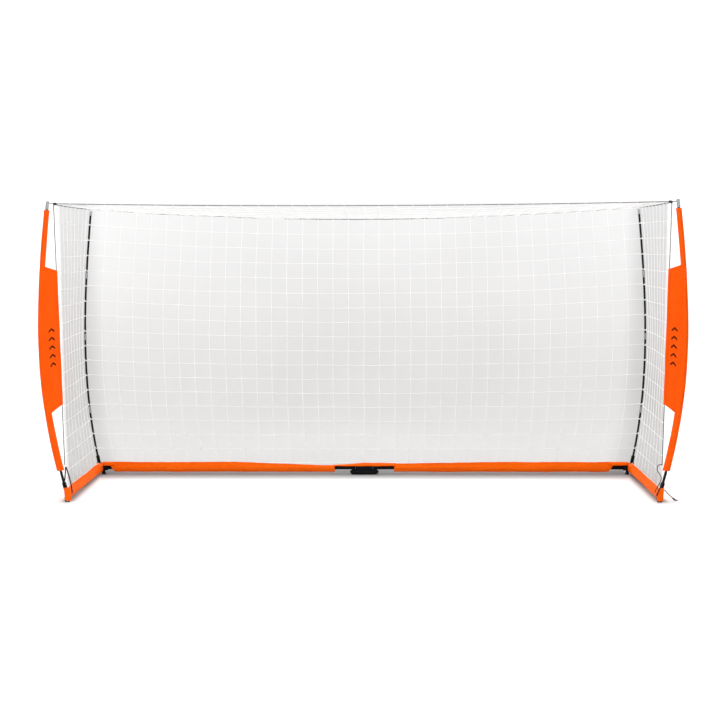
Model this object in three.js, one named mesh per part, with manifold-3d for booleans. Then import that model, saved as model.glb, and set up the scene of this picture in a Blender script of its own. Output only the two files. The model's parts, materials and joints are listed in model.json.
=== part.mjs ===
// Portable bow-style soccer goal: a folding base, two tensioned side bows, two rear poles and a net.
// Millimetres, +X to the right seen from the mouth, +Y towards the back of the net, +Z up.
// The origin is on the ground, at the middle of the goal's footprint.
import * as THREE from 'three';
import { mergeVertices } from 'three/addons/utils/BufferGeometryUtils.js';
import Module from 'manifold-3d';

const wasm = await Module();
wasm.setup();

// ---- Driving dimensions ----
const GAP = 0.3; // clearance between touching pieces
const GOAL_WIDTH = 3658; // 12 ft between the front feet
const NET_HEIGHT = 1829; // 6 ft
const GOAL_DEPTH = 914; // 3 ft, bow plane to back tube
const FOOT_REACH = 29; // how far the feet stand out of the goal's depth
const FOOT_X = GOAL_WIDTH / 2;
const FRONT_Y = -GOAL_DEPTH / 2;
const REAR_Y = GOAL_DEPTH / 2;

const TUBE_R = 12.5; // 25 mm base tube
const TUBE_WALL = 1.5;
const TUBE_Z = 45;
const PLATE = 3; // steel plate of the brackets
const SHELF = TUBE_R + 1; // brackets' plates start this far above and below the tube's axis

const HUB_PIVOT_X = 75;
const HUB_BLOCK_HALF = 60;
const ARM_PIVOT_Y = REAR_Y - 48;
const BOLT_R = 4;
const LUG_R = 14;

const SLEEVE_LOW = 17; // base sleeve, lower edge
const SLEEVE_TOP = 84; // base sleeve, upper edge where the net is sewn in
const SLEEVE_HALF = 17;
const BACK_SLEEVE_START = 205;
const BACK_SLEEVE_END = 1775;
const TUBE_END_SHORT = 26; // the back tube stops this far inside the foot spacing

const FLAP_LOW = 7;
const FLAP_TOP = 93;

const BOW_POLE_R = 8;
const BOW_BASE_LEAN = 15; // degrees outwards at the foot
const BOW_TOP_LEAN = 7; // degrees inwards at the tip
const BOW_TIP_X = 1903;
const BOW_TIP_Z = 1845;
const BOW_HANDLE = 680; // length of the curve's end tangents
const BOW_SLEEVE_LOW = 195;
const BOW_SLEEVE_TOP = 1796;
const BOW_SLEEVE_HALF = 20;
const BOW_SLEEVE_DEPTH = 24;

const WING_INNER_X = 1850;
const WING_CORNERS = [[1925, 552], [WING_INNER_X, 608], [WING_INNER_X, 1430], [1935, 1456]];
const WING_THICK = 3;

const REAR_POLE_R = 7;
const REAR_POLE_BASE_X = 1832;
const REAR_POLE_TOP_X = 1856;
const REAR_POLE_TOP_Z = 1806;
const REAR_BASE_LEAN = 12;
const REAR_TOP_LEAN = 6;
const REAR_HANDLE = 610;
const FERRULE_HEIGHTS = [450, 953, 1376];
const FERRULE_LENGTH = 42;
const SOCKET_FLOOR = 50; // height of the rear pole's lower end in its socket
const SOCKET_TOP = 128;
const SOCKET_R = 12;

const NET_THICK = 2;
const NET_LOW = 88;
const NET_CORNER_X = 1869; // upper front corner of the net
const NET_FOOT_X = 1840; // where the front edge of the net meets the foot
const FRONT_SAG = 18;
const REAR_SAG = 74;
const EDGE_CORD_R = 3;
const TOP_CORD_R = 2.5;
const TAIL_R = 2;

// ---- Materials ----
const finish = (color, roughness, metalness = 0) =>
  new THREE.MeshStandardMaterial({ color, roughness, metalness });
const STEEL = finish(0x1b1b1d, 0.45, 0.6);
const FIBREGLASS = finish(0x141416, 0.4);
const FERRULE_METAL = finish(0x9a9c9e, 0.35, 0.9);
const CAP_PLASTIC = finish(0xb9bbbd, 0.5);
const RUBBER = finish(0x101012, 0.8);
const ORANGE_CLOTH = finish(0xff6a14, 0.75);
const NET_TWINE = finish(0xf2f2f0, 0.85);
const GREY_CORD = finish(0x6e7074, 0.8);
const BLACK_CORD = finish(0x18181a, 0.85);

// ---- Geometry helpers ----
function meshVolume(geometry) {
  const p = geometry.attributes.position;
  const index = geometry.index.array;
  const [a, b, c] = [new THREE.Vector3(), new THREE.Vector3(), new THREE.Vector3()];
  let volume = 0;
  for (let i = 0; i < index.length; i += 3) {
    a.fromBufferAttribute(p, index[i]);
    b.fromBufferAttribute(p, index[i + 1]);
    c.fromBufferAttribute(p, index[i + 2]);
    volume += a.dot(b.cross(c)) / 6;
  }
  return volume;
}

function turnFaces(geometry) {
  const index = geometry.index.array;
  for (let i = 0; i < index.length; i += 3) {
    [index[i + 1], index[i + 2]] = [index[i + 2], index[i + 1]];
  }
  return geometry;
}

// A closed, indexed body with its shared corners merged and its faces pointing out.
function body(geometry) {
  const plain = geometry.clone();
  plain.deleteAttribute('normal');
  plain.deleteAttribute('uv');
  const merged = mergeVertices(plain, 1e-3);
  return meshVolume(merged) < 0 ? turnFaces(merged) : merged;
}

function toManifold(geometry) {
  const closed = body(geometry);
  return new wasm.Manifold(new wasm.Mesh({
    numProp: 3,
    vertProperties: new Float32Array(closed.attributes.position.array),
    triVerts: new Uint32Array(closed.index.array),
  }));
}

function fromManifold(solid) {
  const mesh = solid.getMesh();
  const geometry = new THREE.BufferGeometry();
  geometry.setAttribute('position', new THREE.BufferAttribute(mesh.vertProperties, 3));
  geometry.setIndex(new THREE.BufferAttribute(mesh.triVerts, 1));
  return geometry;
}

const unite = (...pieces) => pieces.map(toManifold).reduce((sum, piece) => sum.add(piece));
const cutFrom = (solid, ...cutters) =>
  fromManifold(cutters.map(toManifold).reduce((rest, cutter) => rest.subtract(cutter), solid));

const v3 = (x, y, z) => new THREE.Vector3(x, y, z);

function polygon(points) {
  return new THREE.Shape(points.map(([x, y]) => new THREE.Vector2(x, y)));
}

function disc(radius, sides, centreY = 0) {
  const points = [];
  for (let i = 0; i < sides; i += 1) {
    const turn = (2 * Math.PI * i) / sides;
    points.push([radius * Math.cos(turn), centreY + radius * Math.sin(turn)]);
  }
  return polygon(points);
}

function ring(outer, inner, sides) {
  const shape = disc(outer, sides);
  shape.holes.push(disc(inner, sides));
  return shape;
}

function stadium(halfLength, halfWidth, sides = 8) {
  const points = [];
  for (const side of [1, -1]) {
    for (let i = 0; i <= sides; i += 1) {
      const turn = -Math.PI / 2 + (Math.PI * i) / sides;
      const x = halfLength - halfWidth + halfWidth * Math.cos(turn);
      points.push([side * x, side * halfWidth * Math.sin(turn)]);
    }
  }
  return polygon(points);
}

// Extrudes a shape by depth; the result stands on z = 0.
const rise = (shape, depth) => new THREE.ExtrudeGeometry(shape, { depth, bevelEnabled: false });

// A shape drawn in X and Z, made thickness deep about the plane at y.
function upright(shape, thickness, y) {
  return rise(shape, thickness).rotateX(Math.PI / 2).translate(0, y + thickness / 2, 0);
}

// A section drawn in X and Z (z upwards), run along Y from y0 to y1.
const alongY = (shape, y0, y1) => upright(shape, y1 - y0, (y0 + y1) / 2);

// A section drawn in Y and Z, run along X from x0 to x1.
function alongX(shape, x0, x1) {
  return rise(shape, x1 - x0).rotateZ(Math.PI / 2).rotateY(Math.PI / 2).translate(x0, 0, 0);
}

function sweep(section, curve, steps) {
  return new THREE.ExtrudeGeometry(section, { steps, extrudePath: curve, bevelEnabled: false });
}

function box(x0, x1, y0, y1, z0, z1) {
  const geometry = new THREE.BoxGeometry(x1 - x0, y1 - y0, z1 - z0);
  return geometry.translate((x0 + x1) / 2, (y0 + y1) / 2, (z0 + z1) / 2);
}

function post(radius, z0, z1, sides = 12) {
  return rise(disc(radius, sides), z1 - z0).translate(0, 0, z0);
}

// A thin curved panel: place(u, v) gives a point of its middle surface, offset its half thickness.
function panel(uSteps, vSteps, place, offset) {
  const geometry = new THREE.BoxGeometry(1, 1, 1, uSteps, vSteps, 1);
  const p = geometry.attributes.position;
  for (let i = 0; i < p.count; i += 1) {
    const point = place(p.getX(i) + 0.5, p.getY(i) + 0.5);
    point.addScaledVector(offset, 2 * p.getZ(i));
    p.setXYZ(i, point.x, point.y, point.z);
  }
  return geometry;
}

const radians = THREE.MathUtils.degToRad;

// A pole that leaves its socket leaning outwards and comes back inwards at the top.
function poleCurve(base, tip, baseLean, topLean, handle) {
  const low = radians(baseLean);
  const high = radians(topLean);
  return new THREE.CubicBezierCurve3(
    base,
    base.clone().add(v3(handle * Math.sin(low), 0, handle * Math.cos(low))),
    tip.clone().add(v3(handle * Math.sin(high), 0, -handle * Math.cos(high))),
    tip,
  );
}

// The parameter at which a rising curve reaches the height z.
function parameterAt(curve, z) {
  let low = 0;
  let high = 1;
  for (let i = 0; i < 40; i += 1) {
    const middle = (low + high) / 2;
    if (curve.getPoint(middle).z < z) low = middle;
    else high = middle;
  }
  return low;
}

const pointAt = (curve, z) => curve.getPoint(parameterAt(curve, z));

// The stretch of a rising curve between two heights.
function stretch(curve, z0, z1, count = 8) {
  const [t0, t1] = [parameterAt(curve, z0), parameterAt(curve, z1)];
  const points = [];
  for (let i = 0; i <= count; i += 1) points.push(curve.getPoint(t0 + ((t1 - t0) * i) / count));
  return new THREE.CatmullRomCurve3(points);
}

// Stands a lathe or extruded piece, made along +Z, at a height of a curve and along its tangent.
function onCurve(geometry, curve, z) {
  const t = parameterAt(curve, z);
  const turn = new THREE.Quaternion().setFromUnitVectors(v3(0, 0, 1), curve.getTangent(t));
  const at = curve.getPoint(t);
  return geometry.applyQuaternion(turn).translate(at.x, at.y, at.z);
}

// A cup with a round bore from below: a cap for a pole's end.
function capOf(outer, bore, boreDepth, height, sides = 12) {
  const profile = [[0, boreDepth], [bore, boreDepth], [bore, 0], [outer, 0], [outer, height - 3],
    [outer - 3, height], [0, height]];
  const lathe = new THREE.LatheGeometry(profile.map(([x, y]) => new THREE.Vector2(x, y)), sides);
  return lathe.rotateX(Math.PI / 2);
}

// ---- Curves of the goal, right-hand side ----
const bow = poleCurve(v3(FOOT_X, FRONT_Y, TUBE_Z), v3(BOW_TIP_X, FRONT_Y, BOW_TIP_Z),
  BOW_BASE_LEAN, BOW_TOP_LEAN, BOW_HANDLE);
const rearPole = poleCurve(v3(REAR_POLE_BASE_X, REAR_Y, TUBE_Z),
  v3(REAR_POLE_TOP_X, REAR_Y, REAR_POLE_TOP_Z), REAR_BASE_LEAN, REAR_TOP_LEAN, REAR_HANDLE);

const bend = (x, sag, half) => sag * (1 - (x / half) ** 2);
const frontTopZ = (x) => NET_HEIGHT + 6 - bend(x, FRONT_SAG, NET_CORNER_X);
const rearTopZ = (x) => NET_HEIGHT - 5 - bend(x, REAR_SAG, REAR_POLE_TOP_X);

// ---- Pieces ----
const goal = new THREE.Group();

// The left side is the mirror image of the right.
function mirrored(geometry) {
  return turnFaces(body(geometry.clone().scale(-1, 1, 1)));
}

function add(group, name, geometry, material) {
  const mesh = new THREE.Mesh(body(geometry), material);
  mesh.name = name;
  group.add(mesh);
}

function addSide(group, side, name, geometry, material) {
  add(group, `${side}_${name}`, side === 'left' ? mirrored(geometry) : geometry, material);
}

// The hub: an oval rubber foot, a plate with a block between the tubes, and a hinge bolt for each half.
function hub() {
  const group = new THREE.Group();
  const low = TUBE_Z - SHELF - PLATE;
  const tubeTop = TUBE_Z + TUBE_R;
  const puck = rise(stadium(99, FOOT_REACH), low - GAP).translate(0, REAR_Y, 0);
  add(group, 'hub_foot', puck, RUBBER);

  const plate = rise(stadium(HUB_PIVOT_X + LUG_R, LUG_R + 4), PLATE).translate(0, REAR_Y, low);
  const block = box(-HUB_BLOCK_HALF, HUB_BLOCK_HALF, REAR_Y - TUBE_R, REAR_Y + TUBE_R, low + 1, tubeTop);
  const boltHole = (x) => post(BOLT_R + GAP, low - 1, tubeTop).translate(x, REAR_Y, 0);
  const holes = [boltHole(-HUB_PIVOT_X), boltHole(HUB_PIVOT_X)];
  add(group, 'hub_bracket', cutFrom(unite(plate, block), ...holes), STEEL);
  for (const [side, x] of [['left', -HUB_PIVOT_X], ['right', HUB_PIVOT_X]]) {
    add(group, `${side}_hub_bolt`, boltOf(tubeTop).translate(x, REAR_Y, 0), STEEL);
  }

  const flap = box(-198, 198, REAR_Y + 20, REAR_Y + 23, 52, SLEEVE_TOP - 1);
  add(group, 'hub_flap', flap, ORANGE_CLOTH);
  const centreNet = upright(netOutline(-HUB_PIVOT_X + 3, [[HUB_PIVOT_X - 3, NET_LOW]]), NET_THICK, REAR_Y);
  add(group, 'net_back_center', centreNet, NET_TWINE);
  return group;
}

// A hinge bolt with a button head that sits on the surface at the height top.
function boltOf(top) {
  const low = TUBE_Z - SHELF - PLATE;
  const high = top + GAP;
  const profile = [[0, low], [BOLT_R, low], [BOLT_R, high], [BOLT_R + 4, high], [BOLT_R + 3, high + 4],
    [0, high + 5]];
  const lathe = new THREE.LatheGeometry(profile.map(([x, y]) => new THREE.Vector2(x, y)), 12);
  return lathe.rotateX(Math.PI / 2);
}

// The back net from x0 to its outer edge, with its top a little under the sagging rear cord.
function netOutline(x0, outerEdge) {
  const points = [[x0, NET_LOW], ...outerEdge];
  const topX = outerEdge[outerEdge.length - 1][0];
  const steps = 8;
  for (let i = 0; i <= steps; i += 1) {
    const x = topX + ((x0 - topX) * i) / steps;
    points.push([x, rearTopZ(x) - TOP_CORD_R - 2]);
  }
  return polygon(points.map(([x, z]) => [x, z]));
}

// A solid round lug with a bolt hole, at the end of a tube.
function lugAt(x, y) {
  return post(LUG_R, TUBE_Z - TUBE_R, TUBE_Z + TUBE_R, 16).translate(x, y, 0);
}

const lugHole = (x, y) => post(BOLT_R + GAP, 0, 2 * TUBE_Z).translate(x, y, 0);

// The sleeve's section about a tube: round below, drawn up to a fin above; z is measured from the ground.
function sleeveSection() {
  const points = [[-4, SLEEVE_TOP], [-SLEEVE_HALF + 2, TUBE_Z + 12]];
  const low = TUBE_Z - SLEEVE_LOW;
  for (let i = 0; i <= 8; i += 1) {
    const turn = Math.PI + (Math.PI * i) / 8;
    points.push([SLEEVE_HALF * Math.cos(turn), TUBE_Z + low * Math.sin(turn)]);
  }
  points.push([SLEEVE_HALF - 2, TUBE_Z + 12], [4, SLEEVE_TOP]);
  const section = polygon(points);
  section.holes.push(disc(TUBE_R + 0.6, 16, TUBE_Z));
  return section;
}

// One half of the back of the base, with its corner bracket, rear pole and back net.
function baseHalf(side) {
  const group = new THREE.Group();
  const put = (name, geometry, material) => addSide(group, side, name, geometry, material);
  const tubeEnd = FOOT_X - TUBE_END_SHORT;
  const tube = alongX(disc(TUBE_R, 16), HUB_PIVOT_X + 6, tubeEnd).translate(0, REAR_Y, TUBE_Z);
  const bore = alongX(disc(TUBE_R - TUBE_WALL, 16), HUB_PIVOT_X + LUG_R + 2, tubeEnd + 1)
    .translate(0, REAR_Y, TUBE_Z);
  const lug = lugAt(HUB_PIVOT_X, REAR_Y);
  put('back_tube', cutFrom(unite(tube, lug), bore, lugHole(HUB_PIVOT_X, REAR_Y)), STEEL);
  put('back_sleeve', alongX(sleeveSection(), BACK_SLEEVE_START, BACK_SLEEVE_END)
    .translate(0, REAR_Y, 0), ORANGE_CLOTH);

  put('corner_bracket', cornerBracket(), STEEL);
  const foot = unite(post(15, 0, 10, 16), post(11, 9, TUBE_Z - SHELF - PLATE - GAP, 16));
  put('corner_foot', fromManifold(foot).translate(FOOT_X - 20, REAR_Y, 0), RUBBER);
  put('arm_pivot_bolt', boltOf(TUBE_Z + SHELF + PLATE).translate(FOOT_X, ARM_PIVOT_Y, 0), STEEL);

  const breaks = [SOCKET_FLOOR + 4, ...FERRULE_HEIGHTS, REAR_POLE_TOP_Z - 2];
  for (let i = 0; i < 4; i += 1) {
    const section = stretch(rearPole, breaks[i] + GAP, breaks[i + 1] - GAP, 4);
    put(`rear_pole_${i + 1}`, sweep(disc(REAR_POLE_R, 10), section, 4), FIBREGLASS);
  }
  FERRULE_HEIGHTS.forEach((z, i) => {
    const route = stretch(rearPole, z - FERRULE_LENGTH / 2, z + FERRULE_LENGTH / 2, 2);
    const collar = sweep(ring(REAR_POLE_R + 2, REAR_POLE_R + 0.5, 10), route, 1);
    put(`rear_ferrule_${i + 1}`, collar, FERRULE_METAL);
  });
  const cap = capOf(REAR_POLE_R + 3, REAR_POLE_R + 0.6, 24, 30);
  put('rear_pole_cap', onCurve(cap, rearPole, REAR_POLE_TOP_Z - 24), CAP_PLASTIC);

  put('net_back', upright(backPage(), NET_THICK, REAR_Y), NET_TWINE);
  put('rear_top_cord', rearTopCord(), GREY_CORD);
  return group;
}

// The bracket on the end of the back tube: a block on the tube, a leaning pole socket above it and
// two plates in front of it that hold the arm's lug.
function cornerBracket() {
  const low = TUBE_Z - SHELF - PLATE;
  const high = TUBE_Z + SHELF;
  const [inner, outer] = [FOOT_X - 50, FOOT_X + 18];
  const block = box(inner, outer, REAR_Y - 16, REAR_Y + 16, low, high + PLATE);
  const plate = (z) => box(FOOT_X - LUG_R - 4, outer, ARM_PIVOT_Y - LUG_R - 4, REAR_Y - 15, z, z + PLATE);
  const socket = sweep(disc(SOCKET_R, 12), stretch(rearPole, TUBE_Z + 5, SOCKET_TOP, 3), 2);
  const poleBore = sweep(disc(REAR_POLE_R + 1, 12), stretch(rearPole, SOCKET_FLOOR, SOCKET_TOP + 20, 3), 3);
  const tubeBore = alongX(disc(TUBE_R + GAP, 16), inner - 1, FOOT_X - TUBE_END_SHORT + GAP)
    .translate(0, REAR_Y, TUBE_Z);
  const pivot = post(BOLT_R + GAP, low - 1, high + PLATE + 1).translate(FOOT_X, ARM_PIVOT_Y, 0);
  return cutFrom(unite(block, plate(low), plate(high), socket), poleBore, tubeBore, pivot);
}

// Half of the back net, from the hub's pivot to just inside the curved rear pole.
function backPage() {
  const beside = (clear) => (z) => [pointAt(rearPole, z).x - clear, z];
  const low = [NET_LOW, SOCKET_TOP + 10].map(beside(SOCKET_R + 5));
  const high = [SOCKET_TOP + 25, 500, 700, 900, 1100, 1300, 1550, 1790].map(beside(REAR_POLE_R + 5));
  return netOutline(HUB_PIVOT_X + 3, [...low, ...high]);
}

// The cord along the net's rear top edge, from the hub's pivot to the pole's cap.
function rearTopCord() {
  const points = [];
  const end = REAR_POLE_TOP_X - 11;
  for (let i = 0; i <= 10; i += 1) {
    const x = HUB_PIVOT_X + 3 + ((end - HUB_PIVOT_X - 3) * i) / 10;
    points.push(v3(x, REAR_Y, rearTopZ(x)));
  }
  return sweep(disc(TOP_CORD_R, 8), new THREE.CatmullRomCurve3(points), 12);
}

// One side arm of the base, with its foot, bow, sleeve and side net.
function arm(side) {
  const group = new THREE.Group();
  const put = (name, geometry, material) => addSide(group, side, name, geometry, material);
  put('arm_tube', armTube(), STEEL);
  const sleeve = alongY(sleeveSection(), FRONT_Y + 18, ARM_PIVOT_Y - 45).translate(FOOT_X, 0, 0);
  put('arm_sleeve', sleeve, ORANGE_CLOTH);
  put('foot_flap', footFlap(), ORANGE_CLOTH);
  put('front_foot', frontFoot(), RUBBER);

  put('bow_pole', sweep(disc(BOW_POLE_R, 12), stretch(bow, 62, BOW_TIP_Z - 4, 16), 16), FIBREGLASS);
  const cap = capOf(BOW_POLE_R + 3, BOW_POLE_R + 0.6, 42, 50);
  put('bow_cap', onCurve(cap, bow, BOW_TIP_Z - 44), CAP_PLASTIC);
  put('bow_sleeve', bowSleeve(), ORANGE_CLOTH);

  put('net_side', sideNet(), NET_TWINE);
  put('net_edge_cord', edgeCord(), GREY_CORD);
  put('corner_bungee', cornerTie(side), BLACK_CORD);
  return group;
}

// The arm's tube, with a lug at the back and an upturned, leaning socket for the bow at the front.
function armTube() {
  const run = alongY(disc(TUBE_R, 16), FRONT_Y, ARM_PIVOT_Y - 6).translate(FOOT_X, 0, TUBE_Z);
  const socket = sweep(disc(TUBE_R, 16), stretch(bow, TUBE_Z, 120, 2), 1);
  const elbow = new THREE.SphereGeometry(TUBE_R, 16, 10).translate(FOOT_X, FRONT_Y, TUBE_Z);
  const poleBore = sweep(disc(BOW_POLE_R + 0.5, 12), stretch(bow, 60, 140, 3), 3);
  const tube = unite(run, socket, elbow, lugAt(FOOT_X, ARM_PIVOT_Y));
  return cutFrom(tube, poleBore, lugHole(FOOT_X, ARM_PIVOT_Y));
}

// The cloth flap that wraps the front of the foot.
function footFlap() {
  const [half, wall, back] = [21, 3, -TUBE_R - 1.5];
  const front = -FOOT_REACH;
  const shape = polygon([[-half, back], [-half, front + 6], [-half + 6, front], [half - 6, front],
    [half, front + 6], [half, back], [half - wall, back], [half - wall, front + 8],
    [half - 8, front + wall], [-half + 8, front + wall], [-half + wall, front + 8], [-half + wall, back]]);
  return rise(shape, FLAP_TOP - FLAP_LOW).translate(FOOT_X + 3, FRONT_Y, FLAP_LOW);
}

// A rubber block under the arm's front end, standing on two toes.
function frontFoot() {
  const block = box(-15, 15, -12, 14, 9, TUBE_Z - TUBE_R - 1);
  const toe = (x) => post(5.5, 0, 10, 12).translate(x, -4, 0);
  const saddle = fromManifold(unite(block, toe(-9), toe(9)));
  return saddle.translate(FOOT_X, FRONT_Y, 0);
}

// The sleeve on the bow and the wing sewn to it, hollow for the pole.
function bowSleeve() {
  const heights = [];
  for (let i = 0; i <= 14; i += 1) {
    heights.push(THREE.MathUtils.lerp(BOW_SLEEVE_LOW, BOW_SLEEVE_TOP, i / 14));
  }
  const edge = (offset) => heights.map((z) => [pointAt(bow, z).x + offset, z]);
  const strip = upright(polygon([...edge(BOW_SLEEVE_HALF), ...edge(-BOW_SLEEVE_HALF).reverse()]),
    BOW_SLEEVE_DEPTH, FRONT_Y);
  const wing = upright(polygon(WING_CORNERS), WING_THICK, FRONT_Y);
  const spine = heights.filter((z) => z > WING_CORNERS[0][1] && z < WING_CORNERS[3][1]);
  const backing = upright(polygon([...spine.map((z) => [pointAt(bow, z).x, z]),
    [1900, spine[spine.length - 1]], [1900, spine[0]]]), WING_THICK, FRONT_Y);
  const pole = sweep(disc(BOW_POLE_R + 1, 10), stretch(bow, 150, BOW_TIP_Z - 2, 14), 14);
  return cutFrom(unite(strip, wing, backing), pole);
}

const frontEdgeX = (z) => THREE.MathUtils.mapLinear(z, NET_LOW, NET_HEIGHT, NET_FOOT_X, NET_CORNER_X);

// The side net: straight along the front edge and curved along the rear pole.
function sideNet() {
  const place = (u, v) => {
    const top = THREE.MathUtils.lerp(NET_HEIGHT - 14, rearTopZ(REAR_POLE_TOP_X) - 14, u);
    const z = THREE.MathUtils.lerp(NET_LOW, top, v);
    const x = THREE.MathUtils.lerp(frontEdgeX(z), pointAt(rearPole, Math.min(z, REAR_POLE_TOP_Z - 1)).x, u);
    return v3(x, THREE.MathUtils.lerp(FRONT_Y + 20, REAR_Y - 20, u), z);
  };
  return panel(5, 9, place, v3(NET_THICK / 2, 0, 0));
}

// The grey cord up the net's front edge and back along the side of the roof to the rear pole.
function edgeCord() {
  const corner = v3(NET_CORNER_X, FRONT_Y + 8, NET_HEIGHT + 2);
  const back = v3(REAR_POLE_TOP_X, REAR_Y - 14, rearTopZ(REAR_POLE_TOP_X) - 1);
  const section = disc(EDGE_CORD_R, 8);
  const rising = sweep(section, new THREE.LineCurve3(v3(frontEdgeX(228), corner.y, 228), corner), 1);
  const level = sweep(section, new THREE.LineCurve3(corner, back), 1);
  const knot = new THREE.SphereGeometry(EDGE_CORD_R + 1, 10, 8).translate(corner.x, corner.y, corner.z);
  return fromManifold(unite(rising, level, knot));
}

// The cord that ties the net's lower front corner to the foot; each side is tied its own way.
const LEFT_TIE = [[1846, 13, 128], [1843, 12, 160], [1839, 10, 196], [1837, 8, 214], [1832, 8, 208],
  [1824, 9, 180], [1814, 10, 140], [1807, 12, 104], [1804, 15, 78], [1803, 18, 52]];
const RIGHT_TIE = [[1846, 15, 226], [1838, 15, 230], [1828, 12, 231], [1818, 9, 225], [1814, 9, 212],
  [1815, 9, 198], [1821, 10, 184], [1831, 12, 170], [1838, 13, 156], [1840, 14, 140], [1834, 16, 118],
  [1824, 17, 98], [1812, 17, 78], [1804, 18, 56]];
const LEFT_TIE_R = 4;
const RIGHT_TIE_R = 2.5;

function cornerTie(side) {
  const [points, radius] = side === 'left' ? [LEFT_TIE, LEFT_TIE_R] : [RIGHT_TIE, RIGHT_TIE_R];
  const route = new THREE.CatmullRomCurve3(points.map(([x, y, z]) => v3(x, FRONT_Y + y, z)));
  return sweep(disc(radius, 8), route, 24);
}

// The roof net and the taut cord between the bows' tips.
function roof() {
  const group = new THREE.Group();
  const place = (u, v) => {
    const reach = THREE.MathUtils.lerp(NET_CORNER_X - 8, REAR_POLE_TOP_X - 14, v);
    const x = THREE.MathUtils.lerp(-reach, reach, u);
    const y = THREE.MathUtils.lerp(FRONT_Y + 16, REAR_Y - 12, v);
    return v3(x, y, THREE.MathUtils.lerp(frontTopZ(x) - 4, rearTopZ(x) - 1, v));
  };
  add(group, 'net_roof', panel(16, 3, place, v3(0, 0, NET_THICK / 2)), NET_TWINE);
  const points = [];
  for (let i = -6; i <= 6; i += 1) {
    const x = (i / 6) * (BOW_TIP_X - 13);
    points.push(v3(x, FRONT_Y, frontTopZ(x)));
  }
  const line = new THREE.CatmullRomCurve3(points);
  add(group, 'front_top_cord', sweep(disc(TOP_CORD_R, 8), line, 14), GREY_CORD);
  return group;
}

// The loose end of the right foot's tension cord, with a crimp, lying out on the ground.
const TAIL_ROUTE = [[1855, -12, 76], [1860, -12, 74], [1868, -8, 66], [1878, -2, 55], [1889, 5, 44],
  [1901, 13, 33], [1913, 21, 22], [1924, 28, 12.5], [1934, 34, 6], [1943, 39, 3], [1951, 44, 2.4]];
const CRIMP_START = 0.62;
const CRIMP_END = 0.8;

function tail() {
  const group = new THREE.Group();
  const route = new THREE.CatmullRomCurve3(TAIL_ROUTE.map(([x, y, z]) => v3(x, FRONT_Y + y, z)));
  add(group, 'tail_cord', sweep(disc(TAIL_R, 8), route, 18), BLACK_CORD);
  const points = [];
  for (let i = 0; i <= 4; i += 1) {
    points.push(route.getPointAt(THREE.MathUtils.lerp(CRIMP_START, CRIMP_END, i / 4)));
  }
  const crimp = sweep(ring(TAIL_R + 1.6, TAIL_R + 0.4, 10), new THREE.CatmullRomCurve3(points), 4);
  add(group, 'tail_crimp', crimp, STEEL);
  return group;
}

goal.add(hub());
for (const side of ['left', 'right']) {
  goal.add(baseHalf(side));
  goal.add(arm(side));
}
goal.add(roof());
goal.add(tail());

export default goal;
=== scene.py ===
"""Looks of a portable bow-style soccer goal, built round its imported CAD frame.

Metres, +X to the right seen from the mouth, +Y towards the back of the net, +Z up.
"""
import json
import math
import random

import bpy
import numpy as np
from mathutils import Matrix, Vector, noise


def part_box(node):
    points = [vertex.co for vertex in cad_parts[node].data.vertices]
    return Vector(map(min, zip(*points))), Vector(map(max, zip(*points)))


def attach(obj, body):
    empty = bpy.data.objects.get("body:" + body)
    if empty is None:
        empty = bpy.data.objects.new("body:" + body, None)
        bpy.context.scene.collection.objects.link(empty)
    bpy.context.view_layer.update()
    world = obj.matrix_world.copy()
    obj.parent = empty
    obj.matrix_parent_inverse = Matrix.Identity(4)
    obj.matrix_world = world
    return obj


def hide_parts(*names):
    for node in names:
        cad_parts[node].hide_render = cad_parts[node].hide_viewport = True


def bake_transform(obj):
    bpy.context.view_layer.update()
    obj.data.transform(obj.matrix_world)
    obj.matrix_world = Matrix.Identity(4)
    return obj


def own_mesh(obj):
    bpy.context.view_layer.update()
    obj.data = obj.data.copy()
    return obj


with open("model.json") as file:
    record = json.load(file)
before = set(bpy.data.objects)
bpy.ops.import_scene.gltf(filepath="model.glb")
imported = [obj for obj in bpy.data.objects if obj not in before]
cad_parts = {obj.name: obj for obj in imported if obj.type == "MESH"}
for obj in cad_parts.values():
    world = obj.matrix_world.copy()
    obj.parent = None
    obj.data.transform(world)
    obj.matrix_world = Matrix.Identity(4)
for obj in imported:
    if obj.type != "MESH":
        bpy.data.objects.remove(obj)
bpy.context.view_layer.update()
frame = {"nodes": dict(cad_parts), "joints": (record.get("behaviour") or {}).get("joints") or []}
SIDES = {"left": -1, "right": 1}
JOINTS = {joint["name"]: joint for joint in frame["joints"]}

# ---- Places, from the frame ----
REAR_Y = JOINTS["right_base_fold"]["pos_m"][1]
TUBE_Z = JOINTS["right_base_fold"]["pos_m"][2]
FOOT_X = JOINTS["right_arm_fold"]["pos_m"][0]
FRONT_Y = -REAR_Y
BACK_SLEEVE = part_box("right_back_sleeve")
ARM_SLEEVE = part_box("right_arm_sleeve")
BOW_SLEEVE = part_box("right_bow_sleeve")
SLEEVE_LOW = BACK_SLEEVE[0].z
SLEEVE_TOP = BACK_SLEEVE[1].z

# ---- Driving sizes ----
TUBE_R = 0.0125
BOW_POLE_R = 0.008
BOW_TIP = (1.903, 1.845)
BOW_LEANS = (15, 7)
BOW_HANDLE = 0.680
REAR_POLE_R = 0.007
REAR_POLE_BASE_X = 1.832
REAR_POLE_TOP = (1.856, 1.806)
REAR_LEANS = (12, 6)
REAR_HANDLE = 0.610
SOCKET_R = 0.012
SOCKET_TOP = 0.135

TWINE_R = 0.0013
EDGE_CORD_R = 0.003
TOP_CORD_R = 0.0025
NET_HEIGHT = 1.829
NET_CORNER_X = 1.869
NET_FOOT_X = 1.840
NET_LOW = 0.088
FRONT_SAG = 0.018
REAR_SAG = 0.074

CLOTH = 0.0012
FLAP_LOW = 0.011
FLAP_TOP = 0.093

RANDOM = random.Random(12)


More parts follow.
